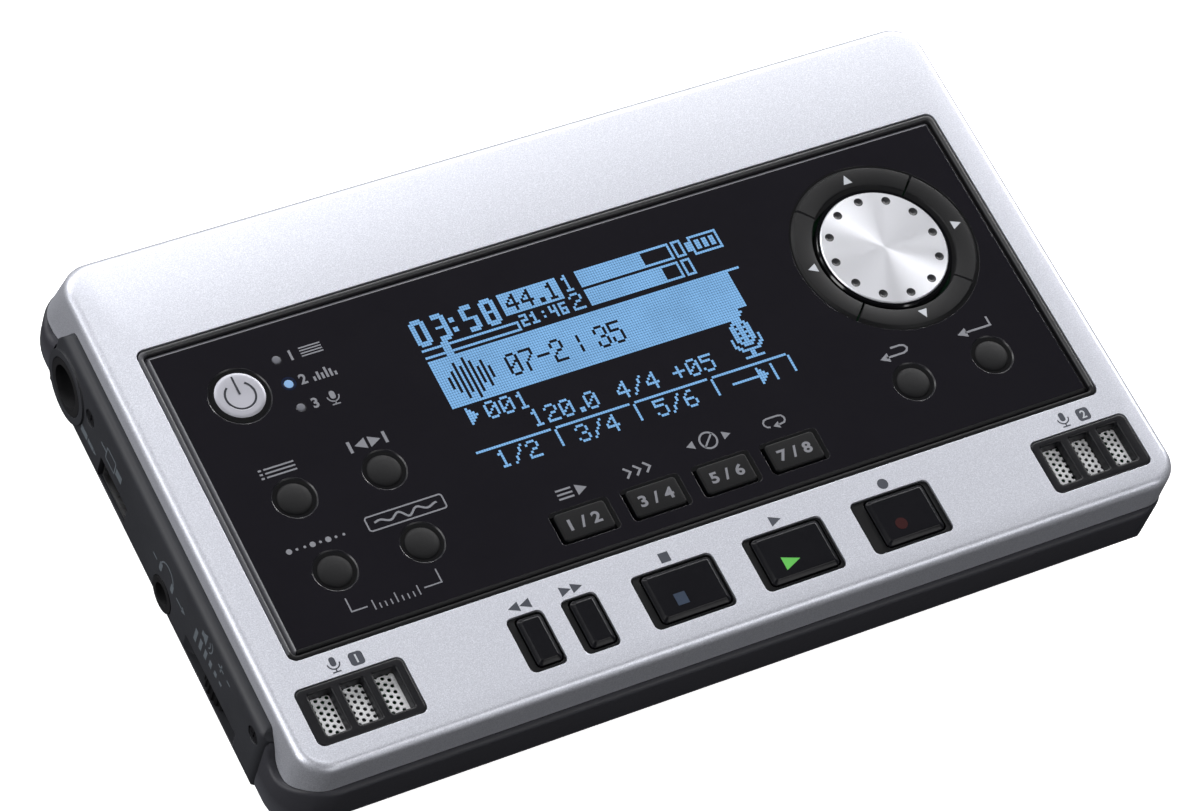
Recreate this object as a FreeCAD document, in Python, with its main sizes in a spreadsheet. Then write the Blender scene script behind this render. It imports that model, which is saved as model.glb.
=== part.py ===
"""Pocket digital multitrack recorder, millimetres.

Frame: origin under the middle of the recorder on the plane it stands on,
+X to the right of the player, +Y to the rear, +Z up.  The sheet "Sizes"
drives every piece.
"""

import FreeCAD, Part
import Sketcher
import math
import os

V = FreeCAD.Vector
doc = FreeCAD.newDocument("MultitrackRecorder")

# ------------------------------------------------------------------ sizes
SIZES = [
    # overall
    ("top_z", 21.6), ("under_z", 0.5), ("cover_hx", 67.5), ("cover_y_front", -42.2),
    ("cover_y_rear", 42.2), ("cover_top_rear", 39.3), ("cover_top_front", -42.0),
    ("cover_corner", 4.5), ("cover_edge", 1.3), ("cover_wall", 1.6), ("skirt_depth", 11.2),
    ("case_hx", 68.6), ("case_y_front", -43.0), ("case_y_rear", 43.0), ("case_corner", 7.4),
    ("case_round", 6.5), ("case_front_round", 10.6), ("case_wall", 1.5), ("case_top", 18.42),
    ("panel_hx", 69.0), ("panel_y_front", -33.4), ("panel_y_rear", 33.6), ("panel_z_low", 4.6),
    ("parting_gap", 0.1), ("shoulder_r", 0.7), ("panel_round", 1.3), ("panel_end_r", 1.5),
    # parting line of the skirt, depth below the top face
    ("side_drop", 3.2), ("front_drop", 5.8), ("front_lobe_drop", 8.3), ("rear_lobe_drop", 10.6),
    ("lobe_front_start", -31.6), ("lobe_front_low", -36.4), ("lobe_rear_start", 30.3), ("lobe_rear_low", 36.1),
    # display opening and window
    ("open_x0", -62.54), ("open_x1", 62.54), ("open_y0", -26.06), ("open_y1", 24.06), ("open_corner", 1.3),
    ("bezel_gap", 0.1), ("bezel_wall", 0.8), ("window_gap", 0.1), ("window_z0", 19.8), ("window_z1", 21.3),
    ("carrier_z0", 19.0), ("carrier_z1", 19.75),
    # keys: underside at rest, flange, travel and switches
    ("key_low_z", 18.85), ("key_flange", 0.5), ("board_z0", 16.6), ("board_z1", 17.6), ("switch_size", 4.2),
    ("switch_tall", 0.7),
    # dial and cursor ring
    ("dial_x", 44.8), ("dial_y", 5.75), ("dial_r", 9.28), ("dial_rim_r", 9.9), ("dial_top_z", 21.35),
    ("dial_rim_z", 21.2), ("dial_low_z", 18.95), ("dial_cap_z", 20.6), ("dimple_ring", 7.95), ("dimple_r", 0.68),
    ("dimple_deep", 0.3), ("shaft_r", 1.5), ("ring_in", 10.4), ("ring_out", 13.5), ("ring_flange_r", 14.4),
    ("ring_top_z", 21.6), ("ring_hole", 13.8), ("ring_angle", 88.3),
    # power key and lamps
    ("power_x", -51.75), ("power_y", 13.3), ("power_r", 3.57), ("power_hole", 4.2), ("power_flange_r", 4.8),
    ("power_top_z", 21.6), ("lamp_x", -44.7), ("lamp_y_rear", 16.9), ("lamp_y_mid", 12.9), ("lamp_y_front", 9.0),
    ("lamp_r", 0.58), ("lamp_hole", 0.68),
    # round keys
    ("round_r", 2.45), ("round_hole", 2.95), ("round_flange_r", 3.4), ("round_top_z", 21.45), ("round_dome", 0.3),
    ("menu_x", -51.4), ("menu_y", -3.5), ("repeat_x", -38.2), ("repeat_y", -3.55), ("rhythm_x", -51.0),
    ("rhythm_y", -15.3), ("effects_x", -38.2), ("effects_y", -15.35), ("exit_x", 38.0), ("exit_y", -15.4),
    ("enter_x", 50.9), ("enter_y", -15.2),
    # track keys
    ("track_w", 7.7), ("track_d", 4.4), ("track_corner", 0.6), ("track_y", -19.8), ("track_xa", -16.05),
    ("track_xb", -5.1), ("track_xc", 5.85), ("track_xd", 16.5), ("track_hole_w", 9.0), ("track_hole_d", 5.1),
    ("track_top_z", 21.4), ("track_flange", 0.9),
    # transport keys
    ("trans_y0", -38.45), ("trans_y1", -29.9), ("trans_corner", 0.95), ("cap_y0", -37.7), ("cap_y1", -30.4),
    ("cap_corner", 0.6), ("cap_top_z", 22.0), ("trans_rim_z", 21.35), ("cap_gap", 0.25), ("cap_bevel", 0.45),
    ("rew_o0", -33.25), ("rew_o1", -27.75), ("rew_c0", -31.85), ("rew_c1", -28.2),
    ("fwd_o0", -25.15), ("fwd_o1", -19.75), ("fwd_c0", -23.9), ("fwd_c1", -20.2),
    ("stop_o0", -14.6), ("stop_o1", -2.1), ("stop_c0", -13.1), ("stop_c1", -2.65),
    ("play_o0", 2.4), ("play_o1", 14.9), ("play_c0", 3.75), ("play_c1", 14.15),
    ("rec_o0", 19.4), ("rec_o1", 31.9), ("rec_c0", 21.7), ("rec_c1", 30.75),
    # microphones
    ("mic_x0", 48.35), ("mic_x1", 64.15), ("mic_y0", -38.6), ("mic_y1", -29.85), ("mic_corner", 1.1),
    ("mic_top_z", 21.6), ("slot_y0", -37.25), ("slot_y1", -31.0), ("slot_w", 3.3), ("slot_pitch", 4.65),
    ("slot_first", -60.8), ("grille_z", 19.45), ("grille_thick", 0.2), ("grille_hole", 0.28),
    ("grille_pitch", 0.93), ("capsule_r", 2.9),
    # battery compartment
    ("door_hx", 29.0), ("door_y1", -3.4), ("door_z1", 6.8), ("door_gap", 0.12), ("cell_r", 7.1), ("cell_long", 50.4),
    ("cell_z", 9.3), ("cell_ya", -26.6), ("cell_yb", -11.8),
    # sockets on the left panel
    ("input_y", 27.9), ("input_z", 10.6), ("input_r", 3.2), ("collar_r", 5.4), ("collar_hx", 69.3),
    ("usb_y", 12.2), ("usb_z", 7.8), ("phones_y", -4.4), ("phones_z", 7.6), ("mini_r", 1.775), ("mini_ring", 2.7),
    ("wheel_x", -63.35), ("wheel_y", -19.6), ("wheel_z0", 5.8), ("wheel_z1", 8.6), ("wheel_r", 5.5),
    ("pin_r", 1.5), ("socket_board_z0", 3.4), ("socket_board_z1", 4.4),
    # sockets on the right panel
    ("line_y", 12.0), ("line_z", 7.6), ("dc_y", 27.6), ("dc_z", 8.8), ("dc_r", 2.75),
    ("card_y", -15.0), ("card_w", 24.0), ("card_long", 32.0), ("card_z0", 13.9), ("card_z1", 16.0),
    # fasteners and feet
    ("pillar_x_rear", 38.0), ("pillar_y_rear", 33.5), ("pillar_x_front", 41.5), ("pillar_y_front", -33.5), ("post_r", 2.6),
    ("screw_r", 0.95), ("head_r", 1.9), ("foot_x", 54.0), ("foot_y", 27.5), ("foot_r", 4.0), ("foot_tall", 0.9),
    ("side_screw_r", 0.75), ("side_head_r", 1.2), ("side_screw_ya", 21.0), ("side_screw_yb", -30.9),
    ("side_screw_za", 13.0), ("side_screw_zb", 14.8),
]

sheet = doc.addObject("Spreadsheet::Sheet", "Sizes")
for row, (name, number) in enumerate(SIZES, 1):
    sheet.set("A%d" % row, name)
    sheet.set("B%d" % row, repr(number))
    sheet.setAlias("B%d" % row, name)
doc.recompute()


class Q:
    """A length that knows its number and the formula that gives it."""

    def __init__(self, number, text):
        self.v, self.t = number, text

    def __add__(self, o):
        o = q(o)
        return Q(self.v + o.v, "(%s + %s)" % (self.t, o.t))

    def __radd__(self, o):
        return q(o) + self

    def __sub__(self, o):
        o = q(o)
        return Q(self.v - o.v, "(%s - %s)" % (self.t, o.t))

    def __rsub__(self, o):
        return q(o) - self

    def __mul__(self, o):
        o = q(o)
        return Q(self.v * o.v, "(%s * %s)" % (self.t, o.t))

    def __rmul__(self, o):
        return q(o) * self

    def __truediv__(self, o):
        o = q(o)
        return Q(self.v / o.v, "(%s / %s)" % (self.t, o.t))

    def __neg__(self):
        return Q(-self.v, "(0 - %s)" % self.t)


def q(x):
    return x if isinstance(x, Q) else Q(float(x), "%.6f" % float(x) if x >= 0 else "(0 - %.6f)" % -float(x))


class Sheet:
    pass


s = Sheet()
for name, number in SIZES:
    setattr(s, name, Q(float(sheet.get(name)), "Sizes." + name))

C = Sketcher.Constraint
NODES = []


def node(obj, label):
    NODES.append((obj, label))
    return obj


def bind(obj, prop, x):
    obj.setExpression(prop, q(x).t)


def place(obj, x=0, y=0, z=0, turn=None):
    if turn is not None:
        obj.Placement = FreeCAD.Placement(V(q(x).v, q(y).v, q(z).v), turn)
    bind(obj, "Placement.Base.x", x)
    bind(obj, "Placement.Base.y", y)
    bind(obj, "Placement.Base.z", z)


TURN_X = FreeCAD.Rotation(V(0, 1, 0), 90)      # cylinder axis along +X
TURN_Y = FreeCAD.Rotation(V(1, 0, 0), -90)     # cylinder axis along +Y


# ------------------------------------------------------- sketches and bodies
def con(sk, x, kind, *where):
    x = q(x)
    i = sk.addConstraint(C(kind, *where, x.v))
    sk.setExpression("Constraints[%d]" % i, x.t)


def body(name, x=0, y=0, z=0, turn=None):
    b = doc.addObject("PartDesign::Body", name)
    place(b, x, y, z, turn)
    return b


def plane(b, role):
    return [f for f in b.Origin.OriginFeatures if f.Role == role][0]


def sketch(b, name, role="XY_Plane", up=0):
    sk = b.newObject("Sketcher::SketchObject", name)
    sk.AttachmentSupport = [(plane(b, role), "")]
    sk.MapMode = "FlatFace"
    if q(up).v != 0:
        sk.setExpression("AttachmentOffset.Base.z", q(up).t)
    return sk


def rrect(sk, x0, x1, y0, y1, r):
    """Rectangle with rounded corners, bound on all four sides."""
    x0, x1, y0, y1, r = map(q, (x0, x1, y0, y1, r))
    a, b, c, d, R = x0.v, x1.v, y0.v, y1.v, r.v
    g = sk.GeometryCount
    for p0, p1 in (((a + R, c), (b - R, c)), ((b, c + R), (b, d - R)), ((b - R, d), (a + R, d)), ((a, d - R), (a, c + R))):
        sk.addGeometry(Part.LineSegment(V(*p0, 0), V(*p1, 0)), False)
    for (cx, cy), a0 in (((b - R, c + R), -90), ((b - R, d - R), 0), ((a + R, d - R), 90), ((a + R, c + R), 180)):
        sk.addGeometry(Part.ArcOfCircle(Part.Circle(V(cx, cy, 0), V(0, 0, 1), R), math.radians(a0), math.radians(a0 + 90)), False)
    cs = [C("Horizontal", g), C("Horizontal", g + 2), C("Vertical", g + 1), C("Vertical", g + 3)]
    for i in range(4):
        cs += [C("Tangent", g + i, 2, g + 4 + i, 1), C("Tangent", g + 4 + i, 2, g + (i + 1) % 4, 1)]
    cs += [C("Equal", g + 4, g + 5), C("Equal", g + 4, g + 6), C("Equal", g + 4, g + 7)]
    sk.addConstraint(cs)
    con(sk, x0, "DistanceX", g + 3, 1)
    con(sk, x1, "DistanceX", g + 1, 1)
    con(sk, y0, "DistanceY", g, 1)
    con(sk, y1, "DistanceY", g + 2, 1)
    con(sk, r, "Radius", g + 4)


def circle(sk, r, x=None, y=None):
    r = q(r)
    g = sk.addGeometry(Part.Circle(V(q(x).v if x is not None else 0, q(y).v if y is not None else 0, 0), V(0, 0, 1), r.v), False)
    if x is None:
        sk.addConstraint(C("Coincident", g, 3, -1, 1))
    else:
        con(sk, x, "DistanceX", g, 3)
        con(sk, y, "DistanceY", g, 3)
    con(sk, r, "Radius", g)


def poly(sk, pts):
    """Closed outline of straight runs through bound points."""
    pts = [(q(a), q(b)) for a, b in pts]
    g = sk.GeometryCount
    n = len(pts)
    for i in range(n):
        p, r = pts[i], pts[(i + 1) % n]
        sk.addGeometry(Part.LineSegment(V(p[0].v, p[1].v, 0), V(r[0].v, r[1].v, 0)), False)
    sk.addConstraint([C("Coincident", g + i, 2, g + (i + 1) % n, 1) for i in range(n)])
    for i, (a, b) in enumerate(pts):
        if abs(a.v) < 1e-9:
            sk.addConstraint(C("PointOnObject", g + i, 1, -2))
        else:
            con(sk, a, "DistanceX", g + i, 1)
        if abs(b.v) < 1e-9:
            sk.addConstraint(C("PointOnObject", g + i, 1, -1))
        else:
            con(sk, b, "DistanceY", g + i, 1)


def pad(b, sk, h):
    p = b.newObject("PartDesign::Pad", sk.Name + "Pad")
    p.Profile = sk
    bind(p, "Length", h)
    return p


def pocket(b, sk, h=None, flip=False):
    """Cut from the sketch plane, downwards unless flipped; no depth means all the way."""
    p = b.newObject("PartDesign::Pocket", sk.Name + "Pocket")
    p.Profile = sk
    p.Reversed = flip
    if h is None:
        p.Type = "ThroughAll"
    else:
        bind(p, "Length", h)
    doc.recompute()
    before = p.BaseFeature.Shape.Volume
    if not p.Shape.Volume < before - 1e-6:
        raise RuntimeError("pocket %s cuts nothing" % p.Name)
    return p


def edges_where(shape, test):
    return ["Edge%d" % (i + 1) for i, e in enumerate(shape.Edges) if test(e)]


def at_height(z, tol=1e-4):
    return lambda e: abs(e.BoundBox.ZMin - z) < tol and abs(e.BoundBox.ZMax - z) < tol


def round_edges(b, test, r, kind="Fillet"):
    doc.recompute()
    tip = b.Tip
    f = b.newObject("PartDesign::" + kind, "%s%s%d" % (b.Name, kind, len(b.Group)))
    names = edges_where(tip.Shape, test)
    if not names:
        raise RuntimeError("no edges for " + f.Name)
    f.Base = (tip, names)
    bind(f, "Radius" if kind == "Fillet" else "Size", r)
    doc.recompute()
    return f


def turned(b, sk, angle=360.0, middle=False):
    """Body of revolution about the upright axis of the sketch."""
    r = b.newObject("PartDesign::Revolution", sk.Name + "Turn")
    r.Profile = sk
    r.ReferenceAxis = (sk, ["V_Axis"])
    if isinstance(angle, Q):
        bind(r, "Angle", angle)
    else:
        r.Angle = angle
    r.Midplane = middle
    return r


# --------------------------------------------------- primitives and booleans
def box(name, x0, x1, y0, y1, z0, z1):
    o = doc.addObject("Part::Box", name)
    bind(o, "Length", q(x1) - x0)
    bind(o, "Width", q(y1) - y0)
    bind(o, "Height", q(z1) - z0)
    place(o, x0, y0, z0)
    return o


def cyl(name, r, h, x, y, z, turn=None):
    o = doc.addObject("Part::Cylinder", name)
    bind(o, "Radius", r)
    bind(o, "Height", h)
    place(o, x, y, z, turn)
    return o


def group(kind, name, items):
    o = doc.addObject("Part::" + kind, name)
    if kind == "Compound":
        o.Links = items
    else:
        o.Shapes = items
    return o


def cut(name, base, *tools):
    tool = tools[0] if len(tools) == 1 else group("Compound" if False else "MultiFuse", name + "Tools", list(tools))
    o = doc.addObject("Part::Cut", name)
    o.Base, o.Tool = base, tool
    return o


def fuse(name, *items):
    return group("MultiFuse", name, list(items))


def common(name, *items):
    return group("MultiCommon", name, list(items))


def rounded(name, hx, y0, y1, z0, z1, corner, low, grow=0):
    """Block with upright rounded corners and a rounded lower edge."""
    b = body(name, 0, 0, z0)
    sk = sketch(b, name + "Plan")
    rrect(sk, -q(hx), hx, y0, y1, corner)
    pad(b, sk, q(z1) - z0)
    round_edges(b, at_height(0.0), low)
    return b


# =================================================================== the case
# Parting line between cover and case, seen from the side: level along the
# side panels, dipping into a lobe at each end.  A free curve, so it is drawn
# from the sheet's numbers as one spline with straight ends.
def parting_shape(gap, upper):
    n = lambda name: float(sheet.get(name))
    zt = n("top_z") - gap
    y0, y1 = -60.0, 60.0
    sd, fd, fl, rl = n("side_drop"), n("front_drop"), n("front_lobe_drop"), n("rear_lobe_drop")
    fs, flo, rs, rlo = n("lobe_front_start"), n("lobe_front_low"), n("lobe_rear_start"), n("lobe_rear_low")
    front = [(-42.2, fd), (-40.6, fd + 0.55), (-38.6, fl - 0.6), (flo, fl), (flo + 1.5, fl - 0.85), (flo + 2.4, (fl + sd) / 2),
             (fs - 1.1, sd + 0.75), (fs, sd)]
    rear = [(rs, sd), (rs + 1.5, sd + 1.1), (rs + 2.9, (sd + rl) / 2 + 0.6), (rlo - 1.6, rl - 0.75), (rlo, rl - 0.05), (rlo + 1.6, rl)]
    def spline(pts, t0, t1):
        c = Part.BSplineCurve()
        c.interpolate(Points=[V(0, y, zt - d) for y, d in pts], InitialTangent=t0, FinalTangent=t1)
        return c.toShape()
    e1 = Part.makeLine(V(0, y0, zt - fd), V(0, front[0][0], zt - fd))
    e2 = spline(front, V(0, 1, -0.08), V(0, 1, 0))
    e3 = Part.makeLine(V(0, fs, zt - sd), V(0, rs, zt - sd))
    e4 = spline(rear, V(0, 1, 0), V(0, 1, 0))
    e5 = Part.makeLine(V(0, rear[-1][0], zt - rl), V(0, y1, zt - rl))
    zf = 60.0 if upper else -40.0
    e6 = Part.makeLine(V(0, y1, zt - rl), V(0, y1, zf))
    e7 = Part.makeLine(V(0, y1, zf), V(0, y0, zf))
    e8 = Part.makeLine(V(0, y0, zf), V(0, y0, zt - fd))
    face = Part.Face(Part.Wire([e1, e2, e3, e4, e5, e6, e7, e8]))
    face.translate(V(-90, 0, 0))
    return face.extrude(V(180, 0, 0))


above = doc.addObject("Part::Feature", "AboveParting")
above.Shape = parting_shape(float(sheet.get("parting_gap")), True)
below = doc.addObject("Part::Feature", "BelowParting")
below.Shape = parting_shape(0.0, False)

# --- top cover: drafted shell, openings, wavy skirt
cb = body("CoverBody")


def outline(b, name, z, inset):
    """Outline of the cover at height z: the rear wall leans forwards as it rises."""
    part = (z - (s.top_z - s.skirt_depth)) / s.skirt_depth
    sk = sketch(b, name, up=z)
    hx = s.cover_hx - inset - part * 0.1
    rrect(sk, -hx, hx, s.cover_y_front + part * (s.cover_top_front - s.cover_y_front) + inset,
          s.cover_y_rear - part * (s.cover_y_rear - s.cover_top_rear) - inset, s.cover_corner - inset * 0.9)
    return sk


def loft(b, name, outlines, feature):
    f = b.newObject("PartDesign::" + feature, name + "Loft")
    f.Profile = outlines[0]
    f.Sections = outlines[1:]
    f.Ruled = True
    doc.recompute()
    return f


z_low = s.top_z - s.skirt_depth
z_edge = s.top_z - s.cover_edge
loft(cb, "CoverWall", [outline(cb, "CoverLow", z_low, q(0)), outline(cb, "CoverHigh", z_edge, q(0))], "AdditiveLoft")
# rounded upper edge, in steps of fifteen degrees
STEPS = 6
arcs = []
for k in range(STEPS + 1):
    a_ = math.radians(90.0 * k / STEPS)
    arcs.append(outline(cb, "CoverEdge%d" % k, z_edge + s.cover_edge * math.sin(a_), s.cover_edge * (1 - math.cos(a_))))
loft(cb, "CoverEdge", arcs, "AdditiveLoft")
loft(cb, "CoverInner", [outline(cb, "InnerLow", z_low, s.cover_wall), outline(cb, "InnerHigh", s.top_z - s.cover_wall, s.cover_wall)], "SubtractiveLoft")
sk = sketch(cb, "DisplayOpening", up=s.top_z)
rrect(sk, s.open_x0, s.open_x1, s.open_y0, s.open_y1, s.open_corner)
pocket(cb, sk, s.cover_wall + 1)
TRANSPORT = [("Rewind", s.rew_o0, s.rew_o1, s.rew_c0, s.rew_c1), ("Forward", s.fwd_o0, s.fwd_o1, s.fwd_c0, s.fwd_c1),
             ("Stop", s.stop_o0, s.stop_o1, s.stop_c0, s.stop_c1), ("Play", s.play_o0, s.play_o1, s.play_c0, s.play_c1),
             ("Record", s.rec_o0, s.rec_o1, s.rec_c0, s.rec_c1)]
sk = sketch(cb, "KeyOpenings", up=s.top_z)
for _, o0, o1, _, _ in TRANSPORT:
    rrect(sk, o0, o1, s.trans_y0, s.trans_y1, s.trans_corner)
rrect(sk, -s.mic_x1, -s.mic_x0, s.mic_y0, s.mic_y1, s.mic_corner)
rrect(sk, s.mic_x0, s.mic_x1, s.mic_y0, s.mic_y1, s.mic_corner)
pocket(cb, sk, s.cover_wall + 1)
cover_cut = cut("CoverSkirt", cb, below)

PILLARS = [("RearLeft", -s.pillar_x_rear, s.pillar_y_rear), ("RearRight", s.pillar_x_rear, s.pillar_y_rear),
          ("FrontLeft", -s.pillar_x_front, s.pillar_y_front), ("FrontRight", s.pillar_x_front, s.pillar_y_front)]
cover_posts = [cyl("CoverPost" + n_, s.post_r - 0.3, s.top_z - s.cover_wall + 0.2 - s.board_z1 - 0.1, x, y, s.board_z1 + 0.1) for n_, x, y in PILLARS]
cover_holes = [cyl("CoverPostHole" + n_, s.screw_r + 0.03, 2.2, x, y, s.board_z1) for n_, x, y in PILLARS]
top_cover = node(cut("TopCover", fuse("CoverWithPosts", cover_cut, *cover_posts), *cover_holes), "top_cover")

# --- bottom case: tub
outer = rounded("TubOuter", s.case_hx, s.case_y_front, s.case_y_rear, s.under_z, s.case_top, s.case_corner, s.case_round)
w = s.case_wall
inner = rounded("TubInner", s.case_hx - w, s.case_y_front + w, s.case_y_rear - w, s.under_z + w, s.case_top + 2, s.case_corner - w, s.case_round - w)


def front_round(name, y_face, z_flat, r):
    """What lies outside the larger rounding along the lower front edge."""
    b = body(name, -80, y_face, z_flat, FreeCAD.Rotation(V(0, 0, 1), 90))
    sk = sketch(b, name + "Side", "XZ_Plane")
    r = q(r)
    g = sk.addGeometry(Part.ArcOfCircle(Part.Circle(V(r.v, r.v, 0), V(0, 0, 1), r.v), math.radians(180), math.radians(270)), False)
    k = sk.addGeometry(Part.LineSegment(V(r.v, 0, 0), V(r.v, -3, 0)), False)
    sk.addGeometry(Part.LineSegment(V(r.v, -3, 0), V(-3, -3, 0)), False)
    sk.addGeometry(Part.LineSegment(V(-3, -3, 0), V(-3, r.v, 0)), False)
    sk.addGeometry(Part.LineSegment(V(-3, r.v, 0), V(0, r.v, 0)), False)
    sk.addConstraint([C("Coincident", g, 2, k, 1), C("Coincident", k, 2, k + 1, 1), C("Coincident", k + 1, 2, k + 2, 1),
                      C("Coincident", k + 2, 2, k + 3, 1), C("Coincident", k + 3, 2, g, 1), C("Vertical", k), C("Horizontal", k + 1),
                      C("Vertical", k + 2), C("Horizontal", k + 3)])
    con(sk, r, "Radius", g)
    con(sk, r, "DistanceX", g, 3)
    con(sk, r, "DistanceY", g, 3)
    con(sk, r, "DistanceX", g, 2)
    con(sk, r, "DistanceY", g, 1)
    con(sk, -3, "DistanceX", k + 2, 1)
    con(sk, -3, "DistanceY", k + 2, 1)
    p = pad(b, sk, 160)
    doc.recompute()
    return b


tub_solid = cut("TubSolid", outer, front_round("FrontRoundOuter", s.case_y_front, s.under_z, s.case_front_round))
hollow = cut("TubHollow", inner, front_round("FrontRoundInner", s.case_y_front + w, s.under_z + w, s.case_front_round - w))
tub_shell = cut("TubShell", cut("TubRaw", tub_solid, hollow), above)
posts = [cyl("CasePost" + n_, s.post_r, s.board_z0 - 0.1 - 1.4, x, y, 1.4) for n_, x, y in PILLARS]
# posts that take the side panel screws
SIDE_SCREWS = [("Rear", s.side_screw_ya, s.side_screw_za), ("Front", s.side_screw_yb, s.side_screw_zb)]
for side, sx in (("Left", -1), ("Right", 1)):
    for n_, y in (("Rear", s.side_screw_ya), ("Front", s.side_screw_yb)):
        a, b_ = (-66.9, -63.6) if sx < 0 else (63.6, 66.9)
        z_up = 15.9 if n_ == "Rear" else 16.7
        yy0, yy1 = (y - 2.2, y + 1.3) if n_ == "Rear" else (y - 1.8, y + 2.0)
        posts.append(box("SidePost" + side + n_, a, b_, yy0, yy1, 3.0, z_up))
# walls of the battery bay
bx = s.door_hx + 0.2
posts += [box("BayLeft", -bx - 1.2, -bx, -34.6, -2.0, 1.9, 16.0), box("BayRight", bx, bx + 1.2, -34.6, -2.0, 1.9, 16.0),
          box("BayRear", -bx - 1.2, bx + 1.2, -3.2, -2.0, 1.9, 16.0), box("BayFront", -bx - 1.2, bx + 1.2, -35.6, -34.6, 8.0, 16.0)]
tub_full = fuse("TubWithPosts", tub_shell, *posts)
tub_cuts = [box("PanelOpeningLeft", -72, -67.08, s.panel_y_front - 0.08, s.panel_y_rear + 0.08, s.panel_z_low - 0.08, 30),
            box("PanelOpeningRight", 67.08, 72, s.panel_y_front - 0.08, s.panel_y_rear + 0.08, s.panel_z_low - 0.08, 30),
            box("PanelSeatLeft", -72, -65.9, s.panel_y_front - 0.08, s.panel_y_rear + 0.08, s.panel_z_low - 0.08, 7.6),
            box("PanelSeatRight", 65.9, 72, s.panel_y_front - 0.08, s.panel_y_rear + 0.08, s.panel_z_low - 0.08, 7.6),
            box("DoorOpening", -s.door_hx - s.door_gap, s.door_hx + s.door_gap, -50, s.door_y1 + s.door_gap, -2, s.under_z + w + 0.06),
            box("DoorOpeningFront", -s.door_hx - s.door_gap, s.door_hx + s.door_gap, -50, -34.7, -2, s.door_z1 + s.door_gap)]
for n_, x, y in PILLARS:
    tub_cuts += [cyl("ScrewHead" + n_, s.head_r + 0.25, 3.5, x, y, -1.0), cyl("ScrewHole" + n_, s.screw_r + 0.1, 20, x, y, 0)]
for n_, sx in (("Left", -1), ("Right", 1)):
    for m_, y, z in SIDE_SCREWS:
        tub_cuts.append(cyl("SideHole" + n_ + m_, s.side_screw_r + 0.05, 8, -70 if sx < 0 else 62, y, z, TURN_X))
for n_, sx, sy in (("RL", -1, 1), ("RR", 1, 1), ("FL", -1, -1), ("FR", 1, -1)):
    tub_cuts.append(cyl("FootSeat" + n_, s.foot_r + 0.1, 1.4, s.foot_x * sx, s.foot_y * sy, s.under_z + s.foot_tall - s.under_z - 1.4))
tub = cut("TubCut", tub_full, *tub_cuts)
doc.recompute()


def rim_edges(shape, hx, y0, y1, corner, low):
    """Numbers of the edges that follow the upper rim on the outside of the tub."""
    hx, y0, y1, corner = (q(v).v for v in (hx, y0, y1, corner))
    found = []
    for i, e in enumerate(shape.Edges, 1):
        span = e.LastParameter - e.FirstParameter
        pts = [e.valueAt(e.FirstParameter + span * t) for t in (0.02, 0.25, 0.5, 0.75, 0.98)]
        on_wall = True
        for p in pts:
            dx, dy = abs(p.x) - (hx - corner), abs(p.y - (y0 + y1) / 2) - ((y1 - y0) / 2 - corner)
            gap_ = math.hypot(max(dx, 0), max(dy, 0)) + min(max(dx, dy), 0) - corner
            on_wall = on_wall and abs(gap_) < 0.01 and p.z > low
        level_seam = e.BoundBox.YMax < y0 + 0.1 and e.BoundBox.ZMax < low + 2
        if on_wall and not level_seam and abs(pts[0].x - pts[-1].x) + abs(pts[0].y - pts[-1].y) > 0.05:
            found.append(i)
    return found


shoulder = doc.addObject("Part::Fillet", "BottomCase")
shoulder.Base = tub
r_ = float(sheet.get("shoulder_r"))
shoulder.Edges = [(i, r_, r_) for i in rim_edges(tub.Shape, s.case_hx, s.case_y_front, s.case_y_rear, s.case_corner, 10.2)]
doc.recompute()
if shoulder.Shape.isNull() or not shoulder.Shape.isValid() or not 0 < tub.Shape.Volume - shoulder.Shape.Volume < 200:
    raise RuntimeError("the shoulder of the tub")
bottom_case = node(shoulder, "bottom_case")

# --- battery door: the floor under the cells and the lower front curve
door_zone = fuse("DoorZone", box("DoorZoneFloor", -s.door_hx, s.door_hx, -50, s.door_y1, -2, s.under_z + w - 0.02),
                 box("DoorZoneFront", -s.door_hx, s.door_hx, -50, -35.0, -2, s.door_z1))
battery_door = node(common("BatteryDoor", cut("DoorShell", tub_solid, hollow), door_zone), "battery_door")

# --- side panels, standing 0.4 proud of the tub
pw = s.panel_hx - s.case_hx
pan_out = rounded("PanelOuter", s.panel_hx, s.case_y_front - 0.4, s.case_y_rear + 0.4, s.under_z - 0.4, s.case_top, s.case_corner + 0.4, s.case_round + 0.4)
pan_in = rounded("PanelInner", s.case_hx - w + 0.1, s.case_y_front + 1.4, s.case_y_rear - 1.4, s.under_z + 1.4, s.case_top + 1, s.case_corner - 1.4, s.case_round - 1.4)
crown = body("PanelCrown")
sk = sketch(crown, "PanelCrownPlan")
rrect(sk, -s.panel_hx, s.panel_hx, s.panel_y_front, s.panel_y_rear, s.panel_end_r)
pad(crown, sk, s.top_z - s.side_drop - 0.1)
round_edges(crown, at_height((s.top_z - s.side_drop - 0.1).v), s.panel_round)
panel_shell = common("PanelShell", cut("PanelWall", pan_out, pan_in), crown)


def panel(side, sx, name):
    lo, hi = (-72, -66.0) if sx < 0 else (66.0, 72)
    zone = box(name + "Zone", lo, hi, s.panel_y_front, s.panel_y_rear, s.panel_z_low, s.top_z - s.side_drop - 0.1)
    raw = common(name + "Raw", panel_shell, zone)
    items, cuts = [raw], []
    x_far = -72 if sx < 0 else 64
    for m_, y, z in SIDE_SCREWS:
        cuts.append(cyl(name + "Hole" + m_, s.side_screw_r + 0.1, 8, x_far, y, z, TURN_X))
        cuts.append(cyl(name + "Sink" + m_, s.side_head_r + 0.12, 3.1, -71.3 if sx < 0 else 68.2, y, z, TURN_X))
    return items, cuts


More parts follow.
